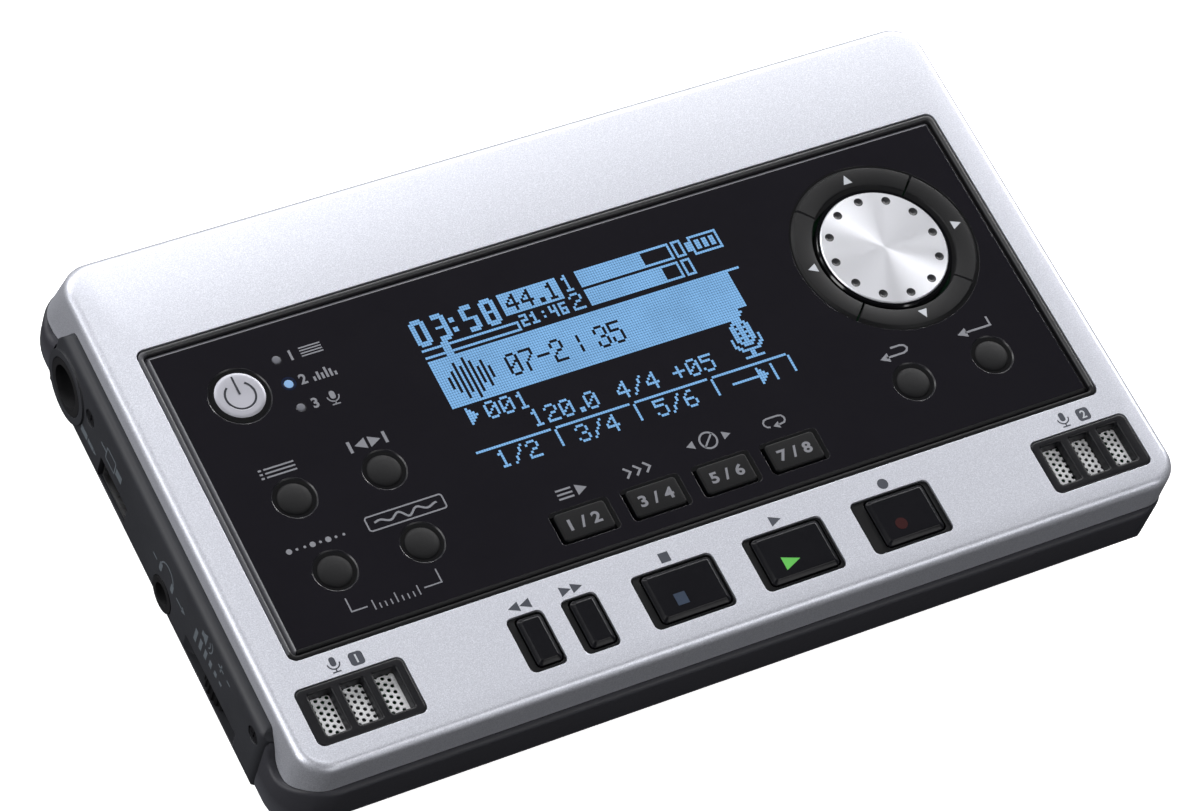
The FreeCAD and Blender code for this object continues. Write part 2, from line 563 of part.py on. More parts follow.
items, cuts = panel("left", -1, "LeftPanel")
items.append(cyl("InputCollar", s.collar_r, 2.1, -s.collar_hx, s.input_y, s.input_z, TURN_X))
cuts += [cyl("InputHole", 4.3, 8, -72, s.input_y, s.input_z, TURN_X),
         box("UsbHole", -72, -64, s.usb_y - 4.3, s.usb_y + 4.3, s.usb_z - 2.3, s.usb_z + 2.3),
         cyl("PhonesHole", s.mini_ring + 0.1, 8, -72, s.phones_y, s.phones_z, TURN_X),
         cyl("WheelSlot", s.wheel_r + 0.5, s.wheel_z1 - s.wheel_z0 + 0.8, s.wheel_x, s.wheel_y, s.wheel_z0 - 0.4),
         cyl("WheelScoop", 11.0, s.wheel_z1 - s.wheel_z0 + 0.8, -76.6, s.wheel_y, s.wheel_z0 - 0.4)]
left_panel = node(cut("LeftPanel", cut("LeftPanelTrimmed", fuse("LeftPanelSolid", *items), above), *cuts), "left_side_panel")

items, cuts = panel("right", 1, "RightPanel")
cuts += [cyl("LineHole", s.mini_ring + 0.1, 8, 64, s.line_y, s.line_z, TURN_X),
         cyl("DcHole", 4.1, 8, 64, s.dc_y, s.dc_z, TURN_X),
         box("CardHole", 64, 72, s.card_y - s.card_w / 2 - 0.5, s.card_y + s.card_w / 2 + 0.5, s.card_z0 - 0.45, s.card_z1 + 0.45),
         cyl("CardScoop", 9.0, 6.2, 77.1, s.card_y, s.card_z0 - 6.0)]
right_panel = node(cut("RightPanel", cut("RightPanelTrimmed", items[0], above), *cuts), "right_side_panel")

# ============================================================ display window
g_ = s.bezel_gap
zb = body("BezelBody")
sk = sketch(zb, "BezelTray", up=s.carrier_z0)
rrect(sk, s.open_x0 - 1.1, s.open_x1 + 1.1, s.open_y0 - 1.1, s.open_y1 + 1.1, s.open_corner + 1)
rrect(sk, s.open_x0 + 2.2, s.open_x1 - 2.2, s.open_y0 + 2.2, s.open_y1 - 2.2, 0.8)
pad(zb, sk, s.carrier_z1 - s.carrier_z0)
sk = sketch(zb, "BezelRim", up=s.carrier_z0)
rrect(sk, s.open_x0 + g_, s.open_x1 - g_, s.open_y0 + g_, s.open_y1 - g_, s.open_corner - g_)
rrect(sk, s.open_x0 + g_ + s.bezel_wall, s.open_x1 - g_ - s.bezel_wall, s.open_y0 + g_ + s.bezel_wall, s.open_y1 - g_ - s.bezel_wall, 0.7)
pad(zb, sk, s.top_z - 0.08 - s.carrier_z0)


def rim_inner(e):
    return at_height(s.top_z.v - 0.08)(e) and max(abs(e.BoundBox.XMin), abs(e.BoundBox.XMax)) < 61.9 and e.BoundBox.YMax < 23.4 and e.BoundBox.YMin > -25.4


round_edges(zb, lambda e: at_height(s.top_z.v - 0.08)(e) and not rim_inner(e), 0.38)
round_edges(zb, rim_inner, 0.36)
node(zb, "display_bezel")

edge = g_ + s.bezel_wall + s.window_gap
wb = body("WindowBody")
sk = sketch(wb, "WindowPlate", up=s.window_z0)
rrect(sk, s.open_x0 + edge, s.open_x1 - edge, s.open_y0 + edge, s.open_y1 - edge, 0.7)
pad(wb, sk, s.window_z1 - s.window_z0)
doc.recompute()
round_edges(wb, at_height(s.window_z1.v), 0.65, "Chamfer")
sk = sketch(wb, "WindowHoles", up=s.window_z1)
ROUND = [("Menu", s.menu_x, s.menu_y, "menu_button"), ("Repeat", s.repeat_x, s.repeat_y, "repeat_button"),
         ("Rhythm", s.rhythm_x, s.rhythm_y, "rhythm_button"), ("Effects", s.effects_x, s.effects_y, "effects_button"),
         ("Exit", s.exit_x, s.exit_y, "exit_button"), ("Enter", s.enter_x, s.enter_y, "enter_button")]
for _, x, y, _ in ROUND:
    circle(sk, s.round_hole, x, y)
circle(sk, s.power_hole, s.power_x, s.power_y)
circle(sk, s.ring_hole, s.dial_x, s.dial_y)
for y in (s.lamp_y_rear, s.lamp_y_mid, s.lamp_y_front):
    circle(sk, s.lamp_hole, s.lamp_x, y)
TRACK = [("TrackA", s.track_xa, "track_button_1_2"), ("TrackB", s.track_xb, "track_button_3_4"),
         ("TrackC", s.track_xc, "track_button_5_6"), ("TrackD", s.track_xd, "track_button_7_8")]
for _, x, _ in TRACK:
    rrect(sk, x - s.track_hole_w / 2, x + s.track_hole_w / 2, s.track_y - s.track_hole_d / 2, s.track_y + s.track_hole_d / 2, 0.7)
pocket(wb, sk)


def hole_edge(e):
    if not at_height(s.window_z1.v)(e):
        return False
    c = e.Curve
    return isinstance(c, Part.Circle) and s.round_hole.v - 0.01 < c.Radius < s.power_hole.v + 0.01


round_edges(wb, hole_edge, 0.18, "Chamfer")
node(wb, "display_window")

# ------------------------------------------------------------ liquid crystal
lx0, lx1, ly0, ly1 = q(-27.6), q(25.3), q(-12.2), q(18.9)


def plate(name, x0, x1, y0, y1, z0, z1, r, edge=None, kind="Fillet"):
    b = body(name)
    sk = sketch(b, name + "Plan", up=z0)
    rrect(sk, x0, x1, y0, y1, r)
    pad(b, sk, q(z1) - z0)
    if edge:
        round_edges(b, at_height(q(z1).v), edge, kind)
    return b


node(plate("LcdGlass", lx0, lx1, ly0, ly1, 18.75, 19.7, 0.4), "lcd_glass")
node(plate("Backlight", lx0 + 0.3, lx1 - 0.3, ly0 + 0.3, ly1 - 0.3, 17.65, 18.7, 0.4), "lcd_backlight")
lf = body("LcdFrame")
sk = sketch(lf, "LcdFramePlan", up=17.62)
rrect(sk, lx0 - 1.1, lx1 + 1.1, ly0 - 1.1, ly1 + 1.1, 1.0)
rrect(sk, lx0 - 0.1, lx1 + 0.1, ly0 - 0.1, ly1 + 0.1, 0.45)
pad(lf, sk, 2.05)
node(lf, "lcd_frame")

# ---------------------------------------------------------------- lamps
lamps = [cyl("Lamp" + n_, s.lamp_r, 21.25 - s.board_z1, s.lamp_x, y, s.board_z1) for n_, y in
         (("Rear", s.lamp_y_rear), ("Mid", s.lamp_y_mid), ("Front", s.lamp_y_front))]
node(group("Compound", "Lamps", lamps), "status_leds")

# ================================================================ jog dial
# base with its rim and the seat for the cap
db = body("DialBase", s.dial_x, s.dial_y)
sk = sketch(db, "DialBaseSide", "XZ_Plane")
hub = s.shaft_r + 0.02
poly(sk, [(hub, s.dial_low_z), (s.dial_rim_r, s.dial_low_z), (s.dial_rim_r, s.dial_rim_z - 0.2), (s.dial_rim_r - 0.2, s.dial_rim_z),
          (s.dial_r + 0.12, s.dial_rim_z), (s.dial_r + 0.12, s.dial_cap_z - 0.05), (hub, s.dial_cap_z - 0.05)])
turned(db, sk)
node(db, "jog_dial_base")
# spun cap with a ring of finger dimples
dc = body("DialCap", s.dial_x, s.dial_y, s.dial_cap_z)
sk = sketch(dc, "DialCapPlan")
circle(sk, s.dial_r)
pad(dc, sk, s.dial_top_z - s.dial_cap_z)
round_edges(dc, at_height((s.dial_top_z - s.dial_cap_z).v), 0.15, "Chamfer")
ball_r = (s.dimple_r * s.dimple_r + s.dimple_deep * s.dimple_deep) / (s.dimple_deep * 2)
ball = dc.newObject("PartDesign::SubtractiveSphere", "Dimple")
bind(ball, "Radius", ball_r)
ball.AttachmentSupport = [(plane(dc, "XY_Plane"), "")]
ball.MapMode = "FlatFace"
ball.setExpression("AttachmentOffset.Base.x", s.dimple_ring.t)
ball.setExpression("AttachmentOffset.Base.z", (s.dial_top_z - s.dial_cap_z + ball_r - s.dimple_deep).t)
doc.recompute()
ring = dc.newObject("PartDesign::PolarPattern", "Dimples")
ring.Originals = [ball]
ring.Axis = ([f for f in dc.Origin.OriginFeatures if f.Role == "Z_Axis"][0], [""])
ring.Angle = 360
ring.Occurrences = 12
dc.Tip = ring
node(dc, "jog_dial_cap")
node(cyl("EncoderShaft", s.shaft_r, s.dial_cap_z - 0.1 - 17.7, s.dial_x, s.dial_y, 17.7), "encoder_shaft")
eb = plate("EncoderHousing", s.dial_x - 6, s.dial_x + 6, s.dial_y - 6, s.dial_y + 6, s.board_z1, 18.65, 0.8)
node(cut("EncoderBody", eb, cyl("EncoderBore", s.shaft_r + 0.05, 6, s.dial_x, s.dial_y, 17.65)), "encoder_body")

# cursor ring in four keys
for n_, a, label in (("Right", 0, "cursor_right_key"), ("Up", 90, "cursor_up_key"), ("Left", 180, "cursor_left_key"), ("Down", 270, "cursor_down_key")):
    b = body("Cursor" + n_, s.dial_x, s.dial_y, 0, FreeCAD.Rotation(V(0, 0, 1), a))
    sk = sketch(b, "Cursor" + n_ + "Side", "XZ_Plane")
    zl, zf, zt = s.key_low_z, s.key_low_z + s.key_flange, s.ring_top_z
    poly(sk, [(s.ring_in, zl), (s.ring_flange_r, zl), (s.ring_flange_r, zf), (s.ring_out, zf), (s.ring_out, zt - 0.35),
              (s.ring_out - 0.35, zt - 0.05), (s.ring_out - 0.9, zt), (s.ring_in + 0.5, zt - 0.12), (s.ring_in + 0.15, zt - 0.2), (s.ring_in, zt - 0.4)])
    turned(b, sk, s.ring_angle, True)
    node(b, label)

# ================================================================== keys
# power key: dished cap
b = body("PowerKey", s.power_x, s.power_y)
sk = sketch(b, "PowerSide", "XZ_Plane")
zt = s.power_top_z
poly(sk, [(0, s.key_low_z), (s.power_flange_r, s.key_low_z), (s.power_flange_r, s.key_low_z + s.key_flange), (s.power_r, s.key_low_z + s.key_flange),
          (s.power_r, zt - 0.35), (s.power_r - 0.08, zt - 0.16), (s.power_r - 0.3, zt - 0.03), (s.power_r - 0.55, zt), (0, zt - 0.06)])
turned(b, sk)
node(b, "power_button")

for n_, x, y, label in ROUND:
    b = body(n_ + "Key", x, y)
    sk = sketch(b, n_ + "Side", "XZ_Plane")
    zt = s.round_top_z
    r = s.round_r
    poly(sk, [(0, s.key_low_z), (s.round_flange_r, s.key_low_z), (s.round_flange_r, s.key_low_z + s.key_flange), (r, s.key_low_z + s.key_flange),
              (r, zt - s.round_dome - 0.3), (r - 0.09, zt - s.round_dome - 0.1), (r - 0.3, zt - s.round_dome + 0.04),
              (r * 0.66, zt - s.round_dome * 0.43), (r * 0.33, zt - s.round_dome * 0.1), (0, zt)])
    turned(b, sk)
    node(b, label)

for n_, x, label in TRACK:
    b = body(n_ + "Key", x, s.track_y)
    sk = sketch(b, n_ + "Flange", up=s.key_low_z)
    fw, fd = s.track_w / 2 + s.track_flange, s.track_d / 2 + 0.6
    rrect(sk, -fw, fw, -fd, fd, 0.6)
    pad(b, sk, s.key_flange)
    sk = sketch(b, n_ + "Cap", up=s.key_low_z)
    rrect(sk, -s.track_w / 2, s.track_w / 2, -s.track_d / 2, s.track_d / 2, s.track_corner)
    pad(b, sk, s.track_top_z - s.key_low_z)
    round_edges(b, at_height(s.track_top_z.v), 0.3)
    node(b, label)

# ---------------------------------------------------- transport bezel and keys
tb = body("TransportBezel")
sk = sketch(tb, "TransportPlate", up=19.3)
rrect(sk, s.rew_o0 - 2.4, s.rec_o1 + 2.4, -39.9, -28.4, 1.0)
pad(tb, sk, 0.62)
sk = sketch(tb, "TransportRims", up=19.3)
for _, o0, o1, _, _ in TRANSPORT:
    rrect(sk, o0 + 0.08, o1 - 0.08, s.trans_y0 + 0.08, s.trans_y1 - 0.08, s.trans_corner - 0.08)
pad(tb, sk, s.trans_rim_z - 19.3)
round_edges(tb, at_height(s.trans_rim_z.v), 0.2)
sk = sketch(tb, "TransportWells", up=s.trans_rim_z)
for _, _, _, c0, c1 in TRANSPORT:
    rrect(sk, c0 - s.cap_gap, c1 + s.cap_gap, s.cap_y0 - s.cap_gap, s.cap_y1 + s.cap_gap, s.cap_corner + 0.2)
pocket(tb, sk)
node(tb, "transport_bezel")
for n_, o0, o1, c0, c1 in TRANSPORT:
    b = body(n_ + "Key")
    sk = sketch(b, n_ + "Flange", up=s.key_low_z)
    rrect(sk, c0 - 0.7, c1 + 0.7, s.cap_y0 - 0.7, s.cap_y1 + 0.7, 0.8)
    pad(b, sk, 0.4)
    sk = sketch(b, n_ + "Cap", up=s.key_low_z)
    rrect(sk, c0, c1, s.cap_y0, s.cap_y1, s.cap_corner)
    pad(b, sk, s.cap_top_z - s.key_low_z)
    round_edges(b, at_height(s.cap_top_z.v), s.cap_bevel, "Chamfer")
    node(b, n_.lower() + "_button")

# --------------------------------------------------------------- microphones
for n_, sx in (("Left", -1), ("Right", 1)):
    x0, x1 = (-s.mic_x1, -s.mic_x0) if sx < 0 else (s.mic_x0, s.mic_x1)
    b = body("MicFrame" + n_)
    sk = sketch(b, "MicFlange" + n_, up=19.3)
    rrect(sk, x0 - 0.9, x1 + 0.9, s.mic_y0 - 0.9, s.mic_y1 + 0.9, 1.4)
    pad(b, sk, 0.6)
    sk = sketch(b, "MicRim" + n_, up=19.3)
    rrect(sk, x0 + 0.08, x1 - 0.08, s.mic_y0 + 0.08, s.mic_y1 - 0.08, s.mic_corner - 0.08)
    pad(b, sk, s.mic_top_z - 19.3)
    round_edges(b, at_height(s.mic_top_z.v), 0.35)
    mid = (x0 + x1) / 2
    sk = sketch(b, "MicSlots" + n_, up=s.mic_top_z)
    for k in (-1, 0, 1):
        c = mid + s.slot_pitch * k + 0.15 * sx * -1
        rrect(sk, c - s.slot_w / 2, c + s.slot_w / 2, s.slot_y0, s.slot_y1, 0.35)
    pocket(b, sk)
    round_edges(b, lambda e: at_height(s.mic_top_z.v)(e) and e.BoundBox.YMin > s.slot_y0.v - 0.05 and e.BoundBox.YMax < s.slot_y1.v + 0.05
                and e.BoundBox.XMin > (x0.v + 1) and e.BoundBox.XMax < (x1.v - 1), 0.35)
    # seat for the grille, from below
    sk = sketch(b, "MicSeat" + n_, up=19.2)
    rrect(sk, mid - 7.0, mid + 7.0, s.slot_y0 - 0.45, s.slot_y1 + 0.45, 0.1)
    pocket(b, sk, s.grille_z + s.grille_thick + 0.03 - 19.2, flip=True)
    node(b, "mic_frame_" + n_.lower())
    # perforated metal grille: one staggered field of round holes
    gx, gy = float(mid.v), float((s.slot_y0.v + s.slot_y1.v) / 2)
    sheet_metal = Part.makeBox(13.8, s.slot_y1.v - s.slot_y0.v + 0.76, s.grille_thick.v, V(gx - 6.9, s.slot_y0.v - 0.38, s.grille_z.v))
    px_, py_ = s.grille_pitch.v * math.sqrt(3) / 2, s.grille_pitch.v
    holes = []
    for i in range(-7, 8):
        off = py_ / 2 if i % 2 else 0.0
        for j in range(-4, 5):
            y = gy + j * py_ + off
            if abs(y - gy) < 3.3:
                holes.append(Part.makeCylinder(s.grille_hole.v, 1.0, V(gx + i * px_, y, s.grille_z.v - 0.3)))
    grille = doc.addObject("Part::Feature", "Grille" + n_)
    grille.Shape = sheet_metal.cut(Part.makeCompound(holes))
    node(grille, "mic_grille_" + n_.lower())
caps = [cyl("Capsule" + n_, s.capsule_r, 1.7, sx * (s.mic_x0 + s.mic_x1) / 2, (s.mic_y0 + s.mic_y1) / 2, s.board_z1) for n_, sx in (("Left", q(-1)), ("Right", q(1)))]
node(group("Compound", "Capsules", caps), "mic_capsules")

# ============================================================= electronics
mb = body("MainBoard")
sk = sketch(mb, "BoardPlan", up=s.board_z0)
rrect(sk, -63.2, 63.2, -39.8, 37.0, 2.5)
for _, x, y in PILLARS:
    circle(sk, s.screw_r + 0.2, x, y)
pad(mb, sk, s.board_z1 - s.board_z0)
node(mb, "main_board")

spots = [(x, y) for _, x, y, _ in ROUND] + [(x, s.track_y) for _, x, _ in TRACK] + [(s.power_x, s.power_y)]
spots += [((c0 + c1) / 2, (s.cap_y0 + s.cap_y1) / 2) for _, _, _, c0, c1 in TRANSPORT]
spots += [(s.dial_x + 12.3, s.dial_y), (s.dial_x - 12.3, s.dial_y), (s.dial_x, s.dial_y + 12.3), (s.dial_x, s.dial_y - 12.3)]
hw = s.switch_size / 2
switches = []
for i, (x, y) in enumerate(spots):
    k = q(0.8) if 11 <= i <= 12 else q(1.0)
    switches.append(box("Switch%02d" % i, x - hw * k, x + hw * k, y - hw * k, y + hw * k, s.board_z1, s.board_z1 + s.switch_tall))
node(group("Compound", "KeySwitches", switches), "key_switches")

chips = [box("Chip%d" % i, *b_) for i, b_ in enumerate(((-8.0, 6.0, 10.0, 24.0, 15.4, 16.58), (14.0, 24.0, 8.0, 18.0, 15.6, 16.58),
                                                      (-26.0, -16.0, 12.0, 19.0, 15.5, 16.58)))]
node(group("Compound", "Chips", chips), "circuit_chips")

# left side sockets
node(cut("InputJack", fuse("InputJackSolid", box("InputJackBody", -65.6, -45.5, s.input_y - 5.5, s.input_y + 5.5, s.input_z - 5.4, s.input_z + 5.4),
                          cyl("InputBush", 4.2, 4.2, -s.collar_hx, s.input_y, s.input_z, TURN_X)),
         cyl("InputBore", s.input_r, 22.6, -70, s.input_y, s.input_z, TURN_X)), "input_jack")
node(cut("UsbSocket", fuse("UsbShell", box("UsbOuter", -68.4, -60.2, s.usb_y - 3.85, s.usb_y + 3.85, s.usb_z - 1.95, s.usb_z + 1.95),
                           box("UsbFoot", -66.0, -60.2, s.usb_y - 3.85, s.usb_y + 3.85, s.socket_board_z1 + 0.02, s.usb_z)),
         cut("UsbSpace", box("UsbInner", -70, -61.0, s.usb_y - 3.5, s.usb_y + 3.5, s.usb_z - 1.6, s.usb_z + 1.6),
             box("UsbTongue", -67.6, -60.5, s.usb_y - 2.4, s.usb_y + 2.4, s.usb_z - 0.4, s.usb_z + 0.5))), "usb_socket")
node(cut("PhonesJack", fuse("PhonesSolid", box("PhonesBody", -66.1, -55.2, s.phones_y - 3.5, s.phones_y + 3.5, s.socket_board_z1 + 0.02, s.phones_z + 3.2),
                            cyl("PhonesRing", s.mini_ring, 3.4, -69.1, s.phones_y, s.phones_z, TURN_X)),
         cyl("PhonesBore", s.mini_r, 14, -70, s.phones_y, s.phones_z, TURN_X)), "phones_jack")
node(fuse("VolumePot", cyl("PotBody", 4.6, s.wheel_z0 - 0.15 - s.socket_board_z1 - 0.02, s.wheel_x + 1.6, s.wheel_y, s.socket_board_z1 + 0.02),
          cyl("PotPin", s.pin_r, s.wheel_z1 + 0.3 - s.socket_board_z1 - 0.1, s.wheel_x, s.wheel_y, s.socket_board_z1 + 0.1)), "volume_pot")
vw = body("VolumeWheel", s.wheel_x, s.wheel_y, s.wheel_z0)
sk = sketch(vw, "WheelPlan")
circle(sk, s.wheel_r)
circle(sk, s.pin_r + 0.05)
pad(vw, sk, s.wheel_z1 - s.wheel_z0)
doc.recompute()
sk = sketch(vw, "WheelGroove", up=s.wheel_z1 - s.wheel_z0)
circle(sk, 0.34, s.wheel_r + 0.08, 0.0001)
groove = pocket(vw, sk)
knurl = vw.newObject("PartDesign::PolarPattern", "Knurl")
knurl.Originals = [groove]
knurl.Axis = ([f for f in vw.Origin.OriginFeatures if f.Role == "Z_Axis"][0], [""])
knurl.Angle = 360
knurl.Occurrences = 32
vw.Tip = knurl
node(vw, "volume_wheel")
node(plate("LeftSocketBoard", -64.8, -52.5, -27.5, 17.4, s.socket_board_z0, s.socket_board_z1, 1.0), "left_socket_board")

# right side sockets
node(cut("LineInJack", fuse("LineSolid", box("LineBody", 55.2, 66.1, s.line_y - 3.5, s.line_y + 3.5, s.socket_board_z1 + 0.02, s.line_z + 3.2),
                            cyl("LineRing", s.mini_ring, 3.4, 65.7, s.line_y, s.line_z, TURN_X)),
         cyl("LineBore", s.mini_r, 14, 56.0, s.line_y, s.line_z, TURN_X)), "line_in_jack")
node(fuse("DcJack", cut("DcShell", fuse("DcSolid", box("DcBody", 55.0, 66.1, s.dc_y - 4.5, s.dc_y + 4.5, s.socket_board_z1 + 0.02, s.dc_z + 4.4),
                                        cyl("DcRing", 4.0, 3.3, 65.6, s.dc_y, s.dc_z, TURN_X)),
                        cyl("DcBore", s.dc_r, 14, 58.0, s.dc_y, s.dc_z, TURN_X)),
          cyl("DcPin", 0.65, 11.5, 56.5, s.dc_y, s.dc_z, TURN_X)), "dc_jack")
node(plate("RightSocketBoard", 54.0, 63.2, 6.0, 32.2, s.socket_board_z0, s.socket_board_z1, 1.0), "right_socket_board")
cw = s.card_w / 2
node(cut("CardSocket", box("CardCage", 34.5, 66.6, s.card_y - cw - 1.2, s.card_y + cw + 1.2, s.card_z0 - 0.8, s.board_z0 - 0.02),
         box("CardSpace", 36.0, 70, s.card_y - cw - 0.25, s.card_y + cw + 0.25, s.card_z0 - 0.15, s.card_z1 + 0.15)), "card_socket")
card = body("MemoryCard")
sk = sketch(card, "CardPlan", up=s.card_z0)
cx0, cx1 = q(36.6), q(36.6) + s.card_long
poly(sk, [(cx0 + 2.6, s.card_y - cw), (cx1, s.card_y - cw), (cx1, s.card_y + cw), (cx0, s.card_y + cw), (cx0, s.card_y - cw + 2.6)])
pad(card, sk, s.card_z1 - s.card_z0)
node(card, "memory_card")

# ================================================================ batteries
cells, metal = [], []
for n_, y, sx in (("A", s.cell_ya, 1), ("B", s.cell_yb, -1)):
    half = s.cell_long / 2
    cells.append(fuse("Cell" + n_, cyl("CellCan" + n_, s.cell_r, s.cell_long - 1.2, (-half + 0.1) if sx > 0 else (-half + 1.1), y, s.cell_z, TURN_X),
                      cyl("CellTip" + n_, 2.75, 3.0, (half - 3.0) if sx > 0 else (-half), y, s.cell_z, TURN_X)))
    # contact plates and springs
    metal.append(box("PlateA" + n_, -bx + 0.05, -bx + 0.4, y - 4, y + 4, 4.0, 15.0))
    metal.append(box("PlateB" + n_, bx - 0.4, bx - 0.05, y - 4, y + 4, 4.0, 15.0))
node(group("Compound", "Cells", cells), "battery_cells")


def spring(x_from, y, z, direction):
    """Contact spring: wire coil between the plate and the flat end of the cell."""
    pitch, tall, r0, wire = 1.1, 3.15, 3.2, 0.25
    helix = Part.makeHelix(pitch, tall, r0)
    ring_ = Part.Wire(Part.makeCircle(wire, V(r0, 0, 0), V(0, 1, 0)))
    coil = Part.Wire(helix.Edges).makePipeShell([ring_], True, True)
    m = FreeCAD.Placement(V(x_from, y, z), FreeCAD.Rotation(V(0, 1, 0), 90 * direction))
    coil.Placement = m
    return coil


sp = []
for n_, y, sx in (("A", s.cell_ya, 1), ("B", s.cell_yb, -1)):
    o = doc.addObject("Part::Feature", "Spring" + n_)
    x_plate = -(bx.v - 0.4) if sx > 0 else bx.v - 0.4
    o.Shape = spring(x_plate + 0.3 * sx, y.v, s.cell_z.v, sx)
    sp.append(o)
node(group("Compound", "Contacts", metal + sp), "battery_contacts")

# ============================================================ feet, fasteners
feet = []
for n_, sx, sy in (("RL", -1, 1), ("RR", 1, 1), ("FL", -1, -1), ("FR", 1, -1)):
    f = body("Foot" + n_, s.foot_x * sx, s.foot_y * sy)
    sk = sketch(f, "FootPlan" + n_)
    circle(sk, s.foot_r)
    pad(f, sk, s.foot_tall)
    round_edges(f, at_height(0.0), 0.2)
    feet.append(f)
node(group("Compound", "Feet", feet), "rubber_feet")

screws = []
for n_, x, y in PILLARS:
    head = cyl("CaseHead" + n_, s.head_r, 1.3, x, y, 1.15)
    shank = cyl("CaseShank" + n_, s.screw_r - 0.02, 17.0, x, y, 2.4)
    slot_a = box("CaseSlotA" + n_, x - 1.1, x + 1.1, y - 0.22, y + 0.22, 0.9, 1.75)
    slot_b = box("CaseSlotB" + n_, x - 0.22, x + 0.22, y - 1.1, y + 1.1, 0.9, 1.75)
    screws.append(cut("CaseScrew" + n_, fuse("CaseScrewSolid" + n_, head, shank), slot_a, slot_b))
node(group("Compound", "CaseScrews", screws), "case_screws")

screws = []
for side, sx in (("Left", -1), ("Right", 1)):
    for m_, y, z in SIDE_SCREWS:
        n_ = side + m_
        head = cyl("SideHead" + n_, s.side_head_r, 0.62, -68.86 if sx < 0 else 68.24, y, z, TURN_X)
        shank = cyl("SideShank" + n_, s.side_screw_r, 4.4, -68.3 if sx < 0 else 63.9, y, z, TURN_X)
        xa, xb = (-69.2, -68.5) if sx < 0 else (68.5, 69.2)
        slot_a = box("SideSlotA" + n_, xa, xb, y - 0.75, y + 0.75, z - 0.15, z + 0.15)
        slot_b = box("SideSlotB" + n_, xa, xb, y - 0.15, y + 0.15, z - 0.75, z + 0.75)
        screws.append(cut("SideScrew" + n_, fuse("SideScrewSolid" + n_, head, shank), slot_a, slot_b))
node(group("Compound", "SideScrews", screws), "side_screws")

# ================================================================== output
doc.recompute()
bad = [o.Name for o in doc.Objects if "Invalid" in o.State or "Error" in o.State]
if bad:
    raise RuntimeError("failed objects: " + ", ".join(bad))
for obj, label in NODES:
    obj.Label = label
doc.recompute()
for obj, label in NODES:
    if obj.Label != label:
        raise RuntimeError("label taken: " + label)
    if obj.Shape.isNull() or not obj.Shape.isValid():
        raise RuntimeError("bad shape: " + label)
os.makedirs("parts", exist_ok=True)
for obj, label in NODES:
    shape = obj.Shape
    print("%-22s solids %2d volume %10.2f" % (label, len(shape.Solids), shape.Volume))
    shape.exportStep("parts/%s.step" % label)
print(len(NODES), "nodes")
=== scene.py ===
import bpy, bmesh, math, random
from mathutils import Vector, Matrix
from mathutils.geometry import tessellate_polygon


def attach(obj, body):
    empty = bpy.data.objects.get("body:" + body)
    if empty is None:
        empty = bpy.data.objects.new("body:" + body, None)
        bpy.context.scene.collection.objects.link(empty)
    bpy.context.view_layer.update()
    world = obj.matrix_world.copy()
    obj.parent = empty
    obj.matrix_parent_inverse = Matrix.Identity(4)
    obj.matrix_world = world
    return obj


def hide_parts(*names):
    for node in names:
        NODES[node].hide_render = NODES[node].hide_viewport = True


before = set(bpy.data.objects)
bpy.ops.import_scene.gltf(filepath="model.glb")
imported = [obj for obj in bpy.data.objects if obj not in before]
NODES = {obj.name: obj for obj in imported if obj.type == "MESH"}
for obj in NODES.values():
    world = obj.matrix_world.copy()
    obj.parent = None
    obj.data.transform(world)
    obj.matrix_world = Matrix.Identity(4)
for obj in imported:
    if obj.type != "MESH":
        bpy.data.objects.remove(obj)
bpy.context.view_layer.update()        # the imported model: bodies, nodes, joints, record
MM = 0.001
ZT = 21.6                # top face, mm
scene = bpy.context.scene
coll = scene.collection
random.seed(7)

# ------------------------------------------------------------------ camera
cam_data = bpy.data.cameras.new("camera")
cam = bpy.data.objects.new("camera", cam_data)
coll.objects.link(cam)
cam_data.sensor_fit = "HORIZONTAL"
cam_data.sensor_width = 36.0
cam_data.lens = 146.08
cam_data.clip_start = 0.01
cam_data.clip_end = 20.0
right = Vector((0.87283, -0.44111, 0.2088)).normalized()
down = Vector((-0.27927, -0.8023, -0.52756)).normalized()
back = right.cross(-down).normalized()
up = back.cross(right)
cam.matrix_world = Matrix(((right.x, up.x, back.x, -0.268957), (right.y, up.y, back.y, -0.268594),
                           (right.z, up.z, back.z, 0.54097 + ZT * MM), (0, 0, 0, 1)))
scene.camera = cam


# --------------------------------------------------------------- materials
def srgb(c):
    """Display values 0..255 to linear."""
    out = []
    for v in c:
        v = v / 255.0
        out.append(v / 12.92 if v <= 0.04045 else ((v + 0.055) / 1.055) ** 2.4)
    return tuple(out) + (1.0,)


